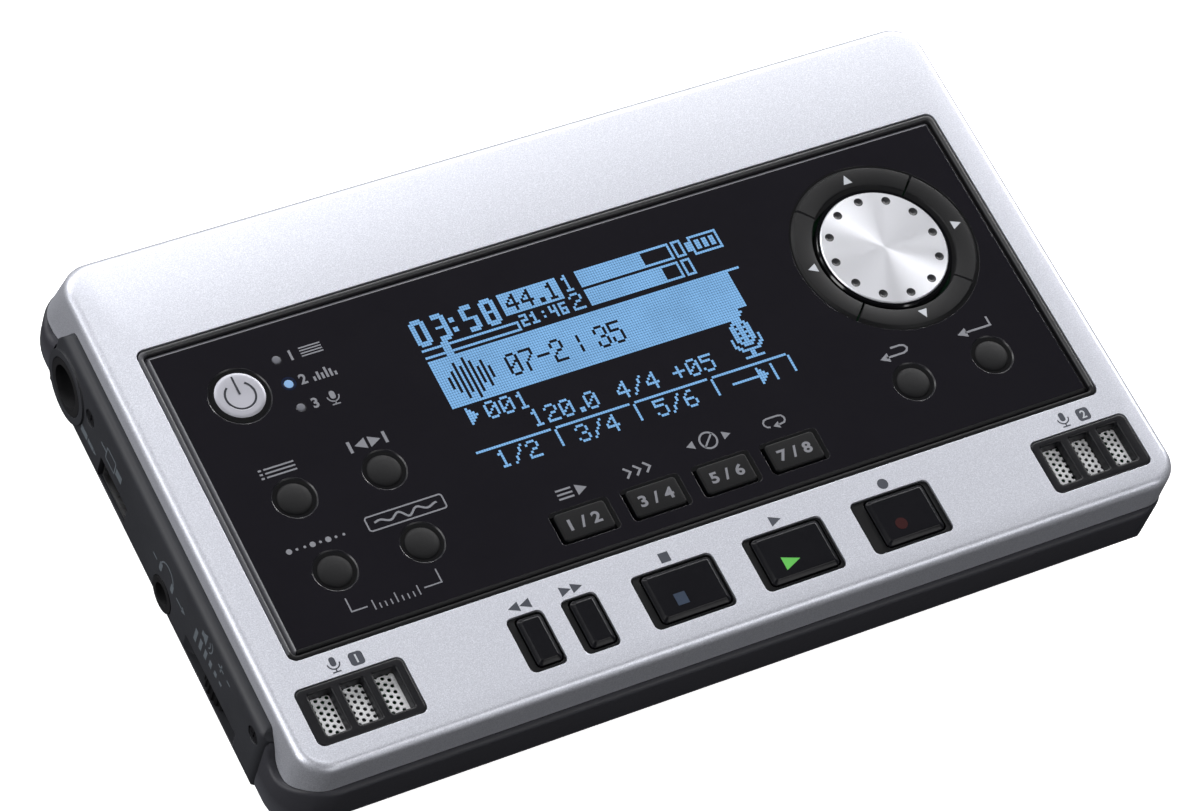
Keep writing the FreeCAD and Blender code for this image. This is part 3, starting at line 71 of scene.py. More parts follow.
class Mat:
    """A node material on object coordinates, so the grain keeps its real scale."""

    def __init__(self, name):
        self.m = bpy.data.materials.new(name)
        self.m.use_nodes = True
        self.t = self.m.node_tree
        self.t.nodes.clear()
        self.out = self.add("ShaderNodeOutputMaterial")
        self.p = self.add("ShaderNodeBsdfPrincipled")
        self.link(self.p.outputs[0], self.out.inputs[0])
        self.co = self.add("ShaderNodeTexCoord").outputs["Object"]

    def add(self, kind, **props):
        n = self.t.nodes.new(kind)
        for k, v in props.items():
            setattr(n, k, v)
        return n

    def link(self, a, b):
        self.t.links.new(a, b)

    def noise(self, scale, detail=2.0, rough=0.5, stretch=None, distortion=0.0):
        n = self.add("ShaderNodeTexNoise")
        n.inputs["Scale"].default_value = scale
        n.inputs["Detail"].default_value = detail
        n.inputs["Roughness"].default_value = rough
        n.inputs["Distortion"].default_value = distortion
        src = self.co
        if stretch:
            mp = self.add("ShaderNodeMapping")
            mp.inputs["Scale"].default_value = stretch
            self.link(src, mp.inputs["Vector"])
            src = mp.outputs[0]
        self.link(src, n.inputs["Vector"])
        return n.outputs["Fac"]

    def ramp(self, fac, stops, interp="LINEAR"):
        r = self.add("ShaderNodeValToRGB")
        r.color_ramp.interpolation = interp
        els = r.color_ramp.elements
        while len(els) < len(stops):
            els.new(0.5)
        for e, (pos, col) in zip(els, stops):
            e.position = pos
            e.color = col if len(col) == 4 else tuple(col) + (1.0,)
        self.link(fac, r.inputs[0])
        return r.outputs[0]

    def range(self, fac, lo, hi, a=0.3, b=0.7):
        r = self.add("ShaderNodeMapRange")
        r.inputs["From Min"].default_value = a
        r.inputs["From Max"].default_value = b
        r.inputs["To Min"].default_value = lo
        r.inputs["To Max"].default_value = hi
        self.link(fac, r.inputs["Value"])
        return r.outputs[0]

    def soft(self, radius_mm, samples=4):
        """Rounds the shading over the sharp edges of a moulding."""
        b = self.add("ShaderNodeBevel", samples=samples)
        b.inputs["Radius"].default_value = radius_mm * 0.001
        return b.outputs[0]

    def bump(self, height, distance, strength=1.0, normal=None):
        b = self.add("ShaderNodeBump")
        b.inputs["Strength"].default_value = strength
        b.inputs["Distance"].default_value = distance
        self.link(height, b.inputs["Height"])
        if normal is not None:
            self.link(normal, b.inputs["Normal"])
        return b.outputs[0]

    def mix(self, fac, a, b, mode="MIX"):
        n = self.add("ShaderNodeMix", data_type="RGBA", blend_type=mode)
        if isinstance(fac, float):
            n.inputs[0].default_value = fac
        else:
            self.link(fac, n.inputs[0])
        for s, v in ((n.inputs[6], a), (n.inputs[7], b)):
            if isinstance(v, tuple):
                s.default_value = v
            else:
                self.link(v, s)
        return n.outputs[2]

    def math(self, op, a, b=0.0):
        n = self.add("ShaderNodeMath", operation=op)
        for s, v in ((n.inputs[0], a), (n.inputs[1], b)):
            if isinstance(v, (int, float)):
                s.default_value = v
            else:
                self.link(v, s)
        return n.outputs[0]

    def set(self, **kw):
        names = {"rough": "Roughness", "metal": "Metallic", "spec": "Specular IOR Level", "coat": "Coat Weight", "coat_rough": "Coat Roughness",
                 "color": "Base Color", "aniso": "Anisotropic", "aniso_rot": "Anisotropic Rotation", "emit": "Emission Strength",
                 "emit_color": "Emission Color", "normal": "Normal", "ior": "IOR", "trans": "Transmission Weight", "tangent": "Tangent",
                 "sheen": "Sheen Weight", "coat_normal": "Coat Normal", "alpha": "Alpha"}
        for k, v in kw.items():
            s = self.p.inputs[names[k]]
            if isinstance(v, (int, float, tuple)):
                s.default_value = v
            else:
                self.link(v, s)
        return self


def tone(c, f):
    return tuple(min(1.0, v * f) for v in c[:3]) + (1.0,)


def plastic(name, color, rough=0.45, spec=0.5, var=0.08, grain=2600, bump=0.000012, rough_var=0.06, coat=0.0, coat_rough=0.08, metal=0.0, patch=90, soft=0.0):
    m = Mat(name)
    c = srgb(color)
    slow = m.noise(patch, 3.0, 0.6)
    fine = m.noise(grain, 2.0, 0.6)
    col = m.ramp(slow, [(0.3, tone(c, 1 - var)), (0.7, tone(c, 1 + var))])
    col = m.mix(m.range(fine, 0.0, 0.35), col, tone(c, 1 + 2.2 * var))
    m.set(color=col, rough=m.range(m.mix(0.5, slow, fine), rough - rough_var, rough + rough_var), metal=metal, spec=spec, coat=coat, coat_rough=coat_rough)
    edge = m.soft(soft) if soft else None
    if bump:
        m.set(normal=m.bump(fine, bump, normal=edge))
    elif edge is not None:
        m.set(normal=edge)
    return m.m


def silver_lacquer():
    """Pearl silver lacquer: fine bright flakes in a light grey base under a soft clear coat."""
    m = Mat("silver_lacquer")
    flake = m.add("ShaderNodeTexVoronoi", feature="F1")
    flake.inputs["Scale"].default_value = 8200
    m.link(m.co, flake.inputs["Vector"])
    sep = m.add("ShaderNodeSeparateColor")
    m.link(flake.outputs["Color"], sep.inputs[0])
    spark = m.noise(6200, 2.0, 0.6)
    slow = m.noise(45, 2.0, 0.5)
    base = m.ramp(spark, [(0.33, srgb((173, 175, 185))), (0.52, srgb((190, 192, 201))), (0.71, srgb((207, 209, 217)))])
    base = m.mix(m.range(sep.outputs[0], 0.0, 0.45, 0.62, 1.0), base, srgb((223, 225, 233)))
    base = m.mix(m.range(slow, 0.0, 0.12), base, srgb((184, 186, 197)))
    n = m.bump(spark, 0.0000045, 0.8, m.soft(0.12))
    m.set(color=base, metal=0.55, rough=m.range(spark, 0.37, 0.45), spec=0.5, coat=0.2, coat_rough=0.3, normal=n)
    return m.m


def spun(name, color, rough=0.30):
    """Turned aluminium: very fine rings round the upright axis of the piece."""
    m = Mat(name)
    gen = m.add("ShaderNodeTexCoord").outputs["Generated"]
    mp = m.add("ShaderNodeMapping")
    mp.inputs["Location"].default_value = (-0.5, -0.5, 0.0)
    mp.inputs["Scale"].default_value = (1.0, 1.0, 0.0)
    m.link(gen, mp.inputs["Vector"])
    ln = m.add("ShaderNodeVectorMath", operation="LENGTH")
    m.link(mp.outputs[0], ln.inputs[0])
    n1 = m.add("ShaderNodeTexNoise", noise_dimensions="1D")
    n1.inputs["Scale"].default_value = 420
    n1.inputs["Detail"].default_value = 3.0
    n1.inputs["Roughness"].default_value = 0.6
    m.link(ln.outputs["Value"], n1.inputs["W"])
    rings = n1.outputs["Fac"]
    c = srgb(color)
    tan = m.add("ShaderNodeTangent", direction_type="RADIAL", axis="Z")
    m.set(color=m.ramp(rings, [(0.3, tone(c, 0.97)), (0.7, tone(c, 1.03))]), metal=0.62, rough=m.range(rings, rough - 0.02, rough + 0.03), spec=0.4,
          aniso=0.9, tangent=tan.outputs[0], normal=m.bump(rings, 0.0000006))
    return m.m


def case_black_painted_reflection(name, low, high, z0, z1, rough, bump, spec=0.4):
    """Moulded black plastic with a painted reflection: a lighter band where it curves in towards the table stands in
    for the pale floor mirrored there.
    """
    m = Mat(name)
    fine = m.noise(1900, 2.0, 0.6)
    slow = m.noise(80, 3.0, 0.6)
    xyz = m.add("ShaderNodeSeparateXYZ")
    m.link(m.co, xyz.inputs[0])
    # painted reflection: lighter from z1 down to z0, dark again on the flat underside below 1.3-2.4 mm
    fac = m.range(xyz.outputs[2], 0.0, 1.0, z0 * MM, z1 * MM)
    lo, hi = srgb(low), srgb(high)
    col = m.mix(m.range(xyz.outputs[2], 0.0, 1.0, 1.3 * MM, 2.4 * MM), hi, m.mix(fac, lo, hi))
    col = m.mix(m.range(slow, 0.0, 0.25), col, tone(hi, 0.7))
    m.set(color=col, rough=m.range(m.mix(0.5, slow, fine), rough - 0.05, rough + 0.05), spec=spec, normal=m.bump(fine, bump))
    return m.m


def well_painted_shade_glow():
    """Painted shade for the key wells: dull black, with a faint painted glow standing in for the trace of light that
    comes back from deeper down.
    """
    m = Mat("pit_black")
    n = m.noise(900, 2.0, 0.5)
    # painted glow: a faint emission lifts the black of the wells
    m.set(color=m.ramp(n, [(0.3, srgb((5, 5, 6))), (0.7, srgb((8, 8, 9)))]), rough=m.range(n, 0.8, 0.9), spec=0.05,
          emit_color=m.ramp(n, [(0.3, (0.9, 0.9, 1.0, 1.0)), (0.7, (1.0, 1.0, 1.0, 1.0))]), emit=0.011)
    return m.m


M = {
    "silver": silver_lacquer(),
    "case": case_black_painted_reflection("case_plastic", (96, 98, 104), (55, 55, 60), 2.0, 9.5, 0.46, 0.000005, 0.2),
    "side": plastic("side_plastic", (46, 47, 51), 0.52, 0.34, 0.08, 1500, 0.000010, soft=0.25),
    "gloss": plastic("gloss_black", (10, 10, 12), 0.10, 0.5, 0.05, 900, 0.0000008, 0.03),
    "window": plastic("window_acrylic", (24, 23, 27), 0.045, 0.5, 0.05, 700, 0.0, 0.015, soft=0.1),
    "bezel": plastic("bezel_black", (13, 13, 17), 0.36, 0.2, 0.08, 3600, 0.000003, soft=0.15),
    "rim": plastic("rim_black", (22, 22, 25), 0.46, 0.5, 0.12, 2600, 0.000012, 0.06),
    "pit": well_painted_shade_glow(),
    "wells": plastic("bezel_wells", (9, 9, 11), 0.4, 0.2, 0.08, 3600, 0.000003, soft=0.12),
    # lighter and darker copies of the rim black: painted light on the left run, painted shade along the front
    "rim_side": plastic("rim_black_side", (54, 54, 59), 0.46, 0.5, 0.12, 2600, 0.000012, 0.06),
    "rim_front": plastic("rim_black_front", (9, 9, 11), 0.5, 0.14, 0.12, 2600, 0.000012, 0.06),
    # lighter and darker copies of the window-slope black: painted light on the left and rear, painted shade at the
    # front
    "bevel_side": plastic("window_bevel_side", (78, 78, 84), 0.36, 0.9, 0.05, 1500, 0.0000004, 0.03),
    "bevel_rear": plastic("window_bevel_rear", (118, 118, 124), 0.3, 0.9, 0.05, 1500, 0.0000004, 0.03),
    "bevel_front": plastic("window_bevel_front", (14, 14, 17), 0.36, 0.3, 0.05, 1500, 0.0000004, 0.03),
    "bevel": plastic("window_bevel", (30, 30, 34), 0.36, 0.9, 0.05, 1500, 0.0000004, 0.03),
    "lip": plastic("well_lip", (22, 22, 26), 0.3, 0.4, 0.05, 1500, 0.0000004, 0.03, soft=0.1),
    "ring": plastic("ring_black", (11, 11, 13), 0.5, 0.17, 0.06, 4200, 0.0000012, 0.04),
    "rubber": plastic("key_rubber", (13, 13, 15), 0.6, 0.17, 0.08, 3600, 0.000003),
    "track": plastic("track_rubber", (8, 8, 10), 0.5, 0.13, 0.08, 3600, 0.000004),
    "cap": plastic("transport_cap", (19, 19, 22), 0.24, 0.11, 0.06, 2200, 0.0000004, 0.03),
    "power": plastic("power_silver", (152, 152, 160), 0.46, 0.4, 0.03, 5200, 0.000002, 0.04, metal=0.45),
    "grille": plastic("grille_metal", (246, 247, 250), 0.45, 0.5, 0.05, 3000, 0.000004, 0.06, metal=0.15),
    "grey_ink": plastic("grey_ink", (108, 109, 115), 0.5, 0.3, 0.04, 3000, 0.0),
    "soft_ink": plastic("soft_ink", (104, 106, 113), 0.5, 0.3, 0.05, 3000, 0.0),
    "dark_ink": plastic("dark_ink", (52, 55, 64), 0.5, 0.3, 0.05, 3000, 0.0),
    # painted highlight colour for the lower edge of the power sign
    "pale_ink": plastic("pale_ink", (190, 190, 198), 0.4, 0.4, 0.04, 3000, 0.0),
    "sign_ink": plastic("sign_ink", (40, 41, 47), 0.5, 0.15, 0.04, 3000, 0.0),
    "side_ink": plastic("side_ink", (92, 98, 104), 0.5, 0.3, 0.06, 3000, 0.0),
    "arrow_ink": plastic("arrow_ink", (165, 168, 174), 0.5, 0.3, 0.04, 3000, 0.0),
    "board": plastic("solder_mask", (20, 70, 42), 0.35, 0.5, 0.12, 400, 0.000010),
    "component": plastic("component_black", (26, 26, 28), 0.5, 0.4, 0.1, 1500, 0.00002),
    "tin": plastic("tin_plate", (178, 178, 180), 0.32, 0.5, 0.06, 1200, 0.000006, 0.08, metal=1.0),
    "steel": plastic("turned_steel", (160, 160, 164), 0.30, 0.5, 0.06, 1200, 0.000004, 0.08, metal=1.0),
    "screw": plastic("black_steel", (58, 58, 62), 0.36, 0.5, 0.10, 1600, 0.000008, 0.08, metal=0.8),
    "foot": plastic("foot_rubber", (24, 24, 25), 0.75, 0.25, 0.10, 1500, 0.00004),
    "cell": plastic("cell_sleeve", (88, 92, 100), 0.25, 0.5, 0.06, 300, 0.000004),
    "card": plastic("card_plastic", (32, 34, 42), 0.45, 0.4, 0.06, 1800, 0.00001),
    "lens": plastic("lamp_lens", (88, 89, 96), 0.5, 0.2, 0.05, 2000, 0.000002),
    "glass": plastic("cell_glass", (40, 52, 66), 0.08, 0.5, 0.05, 500, 0.0),
    "diffuser": plastic("diffuser", (120, 165, 225), 0.4, 0.5, 0.04, 900, 0.000004),
    "spun": spun("spun_aluminium", (214, 215, 221)),
}


def glow(name, color, strength, dark=0.25, rough=0.1, spec=0.4):
    """A lit surface: its light wavers slightly, as a backlight does."""
    m = Mat(name)
    c = srgb(color)
    n = m.noise(220, 2.0, 0.5)
    m.set(color=tone(c, dark), rough=m.range(n, rough * 0.6, rough * 1.4), spec=spec, emit_color=m.ramp(n, [(0.3, tone(c, 0.9)), (0.7, tone(c, 1.06))]), emit=strength)
    return m.m


M["lcd"] = glow("display_light", (120, 168, 214), 0.92)
M["blue_lamp"] = glow("blue_lamp", (132, 170, 214), 0.9, 0.12, 0.5, 0.1)
# painted glow: colour for a ring of lamp light painted on the window
M["halo"] = glow("lamp_halo", (9, 20, 44), 0.8, 0.3, 0.5, 0.05)
M["play_light"] = glow("play_light", (104, 188, 92), 0.8, 0.2)
M["stop_light"] = plastic("stop_mark", (44, 54, 70), 0.4, 0.2, 0.05, 2000, 0.0)
M["rec_light"] = plastic("record_mark", (42, 11, 12), 0.5, 0.08, 0.05, 2000, 0.0)


# ------------------------------------------------------------- CAD finishes
def finish(node, mat, angle=32.0):
    """Gives a carried-over node its material and smooth shading up to its real edges."""
    o = NODES[node]
    o.data.materials.clear()
    o.data.materials.append(M[mat])
    for p in o.data.polygons:
        p.use_smooth = True
        p.material_index = 0
    if o.data.has_custom_normals:
        bpy.context.view_layer.objects.active = o
        bpy.ops.mesh.customdata_custom_splitnormals_clear()
    w = o.modifiers.new("weld", "WELD")
    w.merge_threshold = 0.000001
    e = o.modifiers.new("edges", "EDGE_SPLIT")
    e.split_angle = math.radians(angle)
    return o


FINISH = {
    "top_cover": "silver", "bottom_case": "case", "battery_door": "case", "left_side_panel": "side", "right_side_panel": "side",
    "display_bezel": "rim", "display_window": "window", "lcd_glass": "glass", "lcd_backlight": "diffuser", "lcd_frame": "tin",
    "status_leds": "lens", "jog_dial_base": "gloss", "jog_dial_cap": "spun", "encoder_shaft": "steel", "encoder_body": "component",
    "cursor_right_key": "ring", "cursor_up_key": "ring", "cursor_left_key": "ring", "cursor_down_key": "ring", "power_button": "power",
    "menu_button": "rubber", "repeat_button": "rubber", "rhythm_button": "rubber", "effects_button": "rubber", "exit_button": "rubber",
    "enter_button": "rubber", "track_button_1_2": "track", "track_button_3_4": "track", "track_button_5_6": "track",
    "track_button_7_8": "track", "transport_bezel": "wells", "rewind_button": "cap", "forward_button": "cap", "stop_button": "cap",
    "play_button": "cap", "record_button": "cap", "mic_frame_left": "bezel", "mic_frame_right": "bezel", "mic_grille_left": "grille",
    "mic_grille_right": "grille", "mic_capsules": "component", "main_board": "board", "key_switches": "component",
    "circuit_chips": "component", "input_jack": "component", "usb_socket": "tin", "phones_jack": "component", "volume_pot": "component",
    "volume_wheel": "rubber", "left_socket_board": "board", "line_in_jack": "component", "dc_jack": "component",
    "right_socket_board": "board", "card_socket": "tin", "memory_card": "card", "battery_cells": "cell", "battery_contacts": "tin",
    "rubber_feet": "foot", "case_screws": "screw", "side_screws": "screw",
}
for node_name, mat_name in FINISH.items():
    finish(node_name, mat_name)

# the window: polished face, satin slopes; painted light on its left and rear slopes, painted shade on its front slopes,
# and painted shade with a faint glow on the walls inside its holes
win = NODES["display_window"]
for extra in ("pit", "bevel", "lip", "bevel_side", "bevel_rear", "bevel_front"):
    win.data.materials.append(M[extra])
for p in win.data.polygons:
    c = win.matrix_world @ p.center / MM
    outer = abs(c.x) > 60.8 or c.y > 22.3 or c.y < -24.3
    # slopes facing left or rear get painted light, slopes facing front get painted shade
    slope = 4 if p.normal.x < -0.4 else 5 if p.normal.y > 0.4 else 6 if p.normal.y < -0.4 else 2
    p.material_index = 0 if p.normal.z > 0.98 else (slope if outer else 3) if p.normal.z > 0.3 else 1
# painted light and shade on the rim: a lighter copy of its black on the left run, a darker copy along the front
rim = NODES["display_bezel"]
for extra in ("rim_side", "rim_front"):
    rim.data.materials.append(M[extra])
for p in rim.data.polygons:
    c = rim.matrix_world @ p.center / MM
    p.material_index = 2 if c.y < -23.0 else 1 if c.x < -60.0 else 0
# the power key: silver face; its steep sides and stem take the painted well shade and faint glow
pw = NODES["power_button"]
pw.data.materials.append(M["pit"])
for p in pw.data.polygons:
    p.material_index = 0 if p.normal.z > 0.45 and (pw.matrix_world @ p.center).z > 20.6 * MM else 1
# keys stand in wells: their lower walls take the same painted shade and faint painted glow
for name in ("menu_button", "repeat_button", "rhythm_button", "effects_button", "exit_button", "enter_button",
             "cursor_right_key", "cursor_up_key", "cursor_left_key", "cursor_down_key"):
    o = NODES[name]
    o.data.materials.append(M["pit"])
    for p in o.data.polygons:
        if p.normal.z < 0.3 or (o.matrix_world @ p.center).z < 20.6 * MM:
            p.material_index = 1


# ------------------------------------------------------------ flat outlines
def circ(cx, cy, r, n=40, a0=0.0, a1=360.0):
    full = abs(a1 - a0) >= 360
    k = n if full else n + 1
    return [(cx + r * math.cos(math.radians(a0 + (a1 - a0) * i / n)), cy + r * math.sin(math.radians(a0 + (a1 - a0) * i / n))) for i in range(k)]


def disc(cx, cy, r, n=40):
    return [circ(cx, cy, r, n)]


def hoop(cx, cy, r, w, n=48):
    return [circ(cx, cy, r + w / 2, n), circ(cx, cy, r - w / 2, n)]


def rect(x0, y0, x1, y1):
    return [[(x0, y0), (x1, y0), (x1, y1), (x0, y1)]]


def rr_loop(x0, y0, x1, y1, r, n=5):
    out = []
    for cx, cy, a in ((x1 - r, y0 + r, -90), (x1 - r, y1 - r, 0), (x0 + r, y1 - r, 90), (x0 + r, y0 + r, 180)):
        out += [(cx + r * math.cos(math.radians(a + 90 * i / n)), cy + r * math.sin(math.radians(a + 90 * i / n))) for i in range(n + 1)]
    return out


def rrect(x0, y0, x1, y1, r):
    return [rr_loop(x0, y0, x1, y1, r)]


def frame_shape(x0, y0, x1, y1, r, w):
    return [rr_loop(x0, y0, x1, y1, r), rr_loop(x0 + w, y0 + w, x1 - w, y1 - w, max(0.02, r - w))]


def stroke(pts, w):
    """A line of width w through points, mitred at its turns."""
    n = len(pts)
    left, rght = [], []
    for i in range(n):
        if i == 0:
            dx, dy = pts[1][0] - pts[0][0], pts[1][1] - pts[0][1]
        elif i == n - 1:
            dx, dy = pts[-1][0] - pts[-2][0], pts[-1][1] - pts[-2][1]
        else:
            ax, ay = pts[i][0] - pts[i - 1][0], pts[i][1] - pts[i - 1][1]
            bx, by = pts[i + 1][0] - pts[i][0], pts[i + 1][1] - pts[i][1]
            la, lb = math.hypot(ax, ay), math.hypot(bx, by)
            dx, dy = ax / la + bx / lb, ay / la + by / lb
        d = math.hypot(dx, dy)
        nx, ny = -dy / d, dx / d
        k = w / 2
        if 0 < i < n - 1:
            ca = (nx * (-(ay / la)) + ny * (ax / la))
            k = w / 2 / max(0.35, ca)
        left.append((pts[i][0] + nx * k, pts[i][1] + ny * k))
        rght.append((pts[i][0] - nx * k, pts[i][1] - ny * k))
    return [rght + left[::-1]]


def tri(*p):
    return [list(p)]


def area(loop):
    return sum(loop[i][0] * loop[(i + 1) % len(loop)][1] - loop[(i + 1) % len(loop)][0] * loop[i][1] for i in range(len(loop))) / 2


def prism(bm, loops, z0, z1, warp):
    """Closed thin solid from an outline and its holes; warp turns (x, y, z) in mm into a place."""
    loops = [list(l) for l in loops]
    loops[0] = loops[0] if area(loops[0]) > 0 else loops[0][::-1]
    for i in range(1, len(loops)):
        if area(loops[i]) > 0:
            loops[i] = loops[i][::-1]
    flat = [p for l in loops for p in l]
    tris = tessellate_polygon([[Vector((x, y, 0)) for x, y in l] for l in loops])
    lo = [bm.verts.new(warp(x, y, z0)) for x, y in flat]
    hi = [bm.verts.new(warp(x, y, z1)) for x, y in flat]
    for a, b, c in tris:
        pa, pb, pc = flat[a], flat[b], flat[c]
        s = (pb[0] - pa[0]) * (pc[1] - pa[1]) - (pb[1] - pa[1]) * (pc[0] - pa[0])
        if abs(s) < 1e-12:
            continue
        if s < 0:
            b, c = c, b
        try:
            bm.faces.new((hi[a], hi[b], hi[c]))
            bm.faces.new((lo[c], lo[b], lo[a]))
        except ValueError:
            pass
    k = 0
    for l in loops:
        n = len(l)
        for i in range(n):
            j = (i + 1) % n
            bm.faces.new((lo[k + i], lo[k + j], hi[k + j], hi[k + i]))
        k += n


def top_warp(x, y, z):
    return (x * MM, y * MM, z * MM)


def piece(name, bm, body, mat, smooth=False):
    me = bpy.data.meshes.new(name)
    bm.normal_update()
    bm.to_mesh(me)
    bm.free()
    me.materials.append(M[mat])
    if smooth:
        for p in me.polygons:
            p.use_smooth = True
    o = bpy.data.objects.new(name, me)
    coll.objects.link(o)
    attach(o, body)
    return o


def ink(name, shapes, z, body, mat, thick=0.02, warp=top_warp, texts=()):
    bm = bmesh.new()
    for loops in shapes:
        prism(bm, loops, z, z + thick, warp)
    for t in texts:
        add_text(bm, *t, z=z, thick=thick, warp=warp)
    return piece(name, bm, body, mat)


def add_text(bm, text, cx, cy, height, bold=0.02, stretch=1.0, z=0.0, thick=0.02, warp=top_warp):
    """Numerals set about a centre; height is the height of a digit in mm."""
    cu = bpy.data.curves.new("numerals", "FONT")
    cu.body = text
    cu.size = 1.0
    cu.offset = bold
    cu.resolution_u = 4
    cu.fill_mode = "BOTH"
    cu.extrude = 0.5
    cu.space_character = 1.06
    ob = bpy.data.objects.new("numerals", cu)
    coll.objects.link(ob)
    bpy.context.view_layer.update()
    me = bpy.data.meshes.new_from_object(ob.evaluated_get(bpy.context.evaluated_depsgraph_get()))
    xs = [v.co.x for v in me.vertices]
    ys = [v.co.y for v in me.vertices]
    mx, my = (min(xs) + max(xs)) / 2, (min(ys) + max(ys)) / 2
    k = height / (max(ys) - min(ys))
    tmp = bmesh.new()
    tmp.from_mesh(me)
    bmesh.ops.remove_doubles(tmp, verts=tmp.verts, dist=1e-5)
    remap = {}
    for v in tmp.verts:
        remap[v] = bm.verts.new(warp(cx + (v.co.x - mx) * k * stretch, cy + (v.co.y - my) * k, z + thick * (v.co.z + 0.5)))
    for f in tmp.faces:
        try:
            bm.faces.new([remap[v] for v in f.verts])
        except ValueError:
            pass
    tmp.free()
    bpy.data.objects.remove(ob)
    bpy.data.curves.remove(cu)
    bpy.data.meshes.remove(me)


# ------------------------------------------------------- print on the window
ZW = 21.3                # window surface
marks = []
texts = []


def bar_icon(x, y, w, h, n, t):
    return [rect(x, y + (h - t) * i / (n - 1), x + w, y + (h - t) * i / (n - 1) + t) for i in range(n)]


# list sign over the first key
for i in range(3):
    yy = 1.75 - i * 0.62
    marks.append(rect(-54.4, yy - 0.14, -53.95, yy + 0.14))
    marks.append(rect(-53.6, yy - 0.12, -49.2, yy + 0.12))
# two facing arrows between end bars over the second key
marks += [rect(-41.4, 0.15, -40.95, 1.95), rect(-36.2, 0.15, -35.75, 1.95), tri((-40.5, 1.05), (-38.8, 0.2), (-38.8, 1.9)),
          tri((-36.65, 1.05), (-38.35, 1.9), (-38.35, 0.2))]
# beat pattern over the third key
for i, big in enumerate((1, 0, 0, 1, 0, 1, 0, 0)):
    marks.append(disc(-55.6 + i * 1.14, -10.75, 0.42 if big else 0.2, 18))
# wave in a rounded field over the fourth key
marks.append(frame_shape(-44.2, -11.75, -32.6, -9.35, 0.5, 0.22))
marks.append(stroke([(-43.0 + 0.25 * i, -10.55 + 0.62 * math.sin(i * 0.25 * 2.2) * math.exp(-abs(i - 18.5) / 14.0)) for i in range(38)], 0.3))
# bracket with a pointer scale under the lower keys
marks.append(stroke([(-51.6, -19.6), (-51.6, -21.7), (-49.3, -21.7)], 0.2))
marks.append(stroke([(-41.0, -21.7), (-38.4, -21.7), (-38.4, -19.6)], 0.2))
for i in range(9):
    hgt = 1.5 if i in (0, 4, 8) else 0.8
    marks.append(rect(-48.4 + i * 0.82 - 0.09, -22.5, -48.4 + i * 0.82 + 0.09, -22.5 + hgt))
# return arrow and enter arrow over the two keys on the right
marks.append(stroke([(36.2, -10.75), (38.9, -10.75), (39.5, -10.55), (39.75, -10.1), (39.5, -9.65), (38.9, -9.45), (37.4, -9.45)], 0.3))
marks.append(tri((35.1, -10.75), (36.5, -11.5), (36.5, -10.0)))
marks.append(stroke([(53.1, -9.3), (53.1, -10.75), (49.0, -10.75)], 0.3))
marks.append(tri((47.7, -10.75), (49.2, -11.5), (49.2, -10.0)))
# signs over the track keys: list, speed, middle out, loop
marks += bar_icon(-17.9, -15.9, 2.3, 1.6, 3, 0.28)
marks += [tri((-15.0, -15.95), (-13.4, -15.1), (-15.0, -14.25))]
for i in range(3):
    marks.append(stroke([(-7.5 + i * 1.5, -15.9), (-6.7 + i * 1.5, -15.1), (-7.5 + i * 1.5, -14.3)], 0.32))
marks += [hoop(5.85, -14.2, 1.25, 0.28), stroke([(4.95, -15.1), (6.75, -13.3)], 0.26)]
marks.append(tri((2.4, -14.2), (3.6, -14.85), (3.6, -13.55)))
marks.append(tri((9.3, -14.2), (8.1, -13.55), (8.1, -14.85)))
lx, ly = 16.0, -14.5
marks.append(stroke([(lx - 0.9, ly - 0.75), (lx - 1.35, ly - 0.62), (lx - 1.62, ly - 0.25), (lx - 1.62, ly + 0.12), (lx - 1.35, ly + 0.5), (lx - 0.9, ly + 0.62),
                     (lx + 0.9, ly + 0.62), (lx + 1.35, ly + 0.5), (lx + 1.62, ly + 0.12), (lx + 1.62, ly - 0.25), (lx + 1.35, ly - 0.62), (lx + 0.35, ly - 0.75)], 0.26))
marks.append(tri((lx - 0.45, ly - 0.75), (lx + 0.5, ly - 1.3), (lx + 0.5, ly - 0.2)))
# lamp signs
texts += [("1", -42.6, 16.9, 1.6, 0.03), ("2", -42.6, 12.95, 1.6, 0.03), ("3", -42.6, 9.0, 1.6, 0.03)]
marks += bar_icon(-41.2, 16.15, 3.2, 1.5, 4, 0.2)
for i, hgt in enumerate((0.7, 1.3, 0.95, 1.65, 1.2, 0.6)):
    marks.append(rect(-41.2 + i * 0.62, 12.1, -40.85 + i * 0.62, 12.1 + hgt))
marks += [rrect(-40.3, 8.75, -39.5, 10.0, 0.38), stroke(circ(-39.9, 9.2, 0.85, 10, 180, 360), 0.18), rect(-39.99, 7.95, -39.81, 8.4),
          rect(-40.5, 7.8, -39.3, 7.98)]
ink("window_print", marks, ZW, "chassis", "grey_ink", 0.015, texts=texts)

# ------------------------------------------------- dot display, 128 by 64
COLS, ROWS = 128, 64
grid = [[0] * COLS for _ in range(ROWS)]


def dot(c, r, v=1):
    if 0 <= c < COLS and 0 <= r < ROWS:
        grid[r][c] = v


def fill(c0, r0, c1, r1, v=1):
    for r in range(r0, r1 + 1):
        for c in range(c0, c1 + 1):
            dot(c, r, v)


def outline(c0, r0, c1, r1, v=1):
    fill(c0, r0, c1, r0, v)
    fill(c0, r1, c1, r1, v)
    fill(c0, r0, c0, r1, v)
    fill(c1, r0, c1, r1, v)


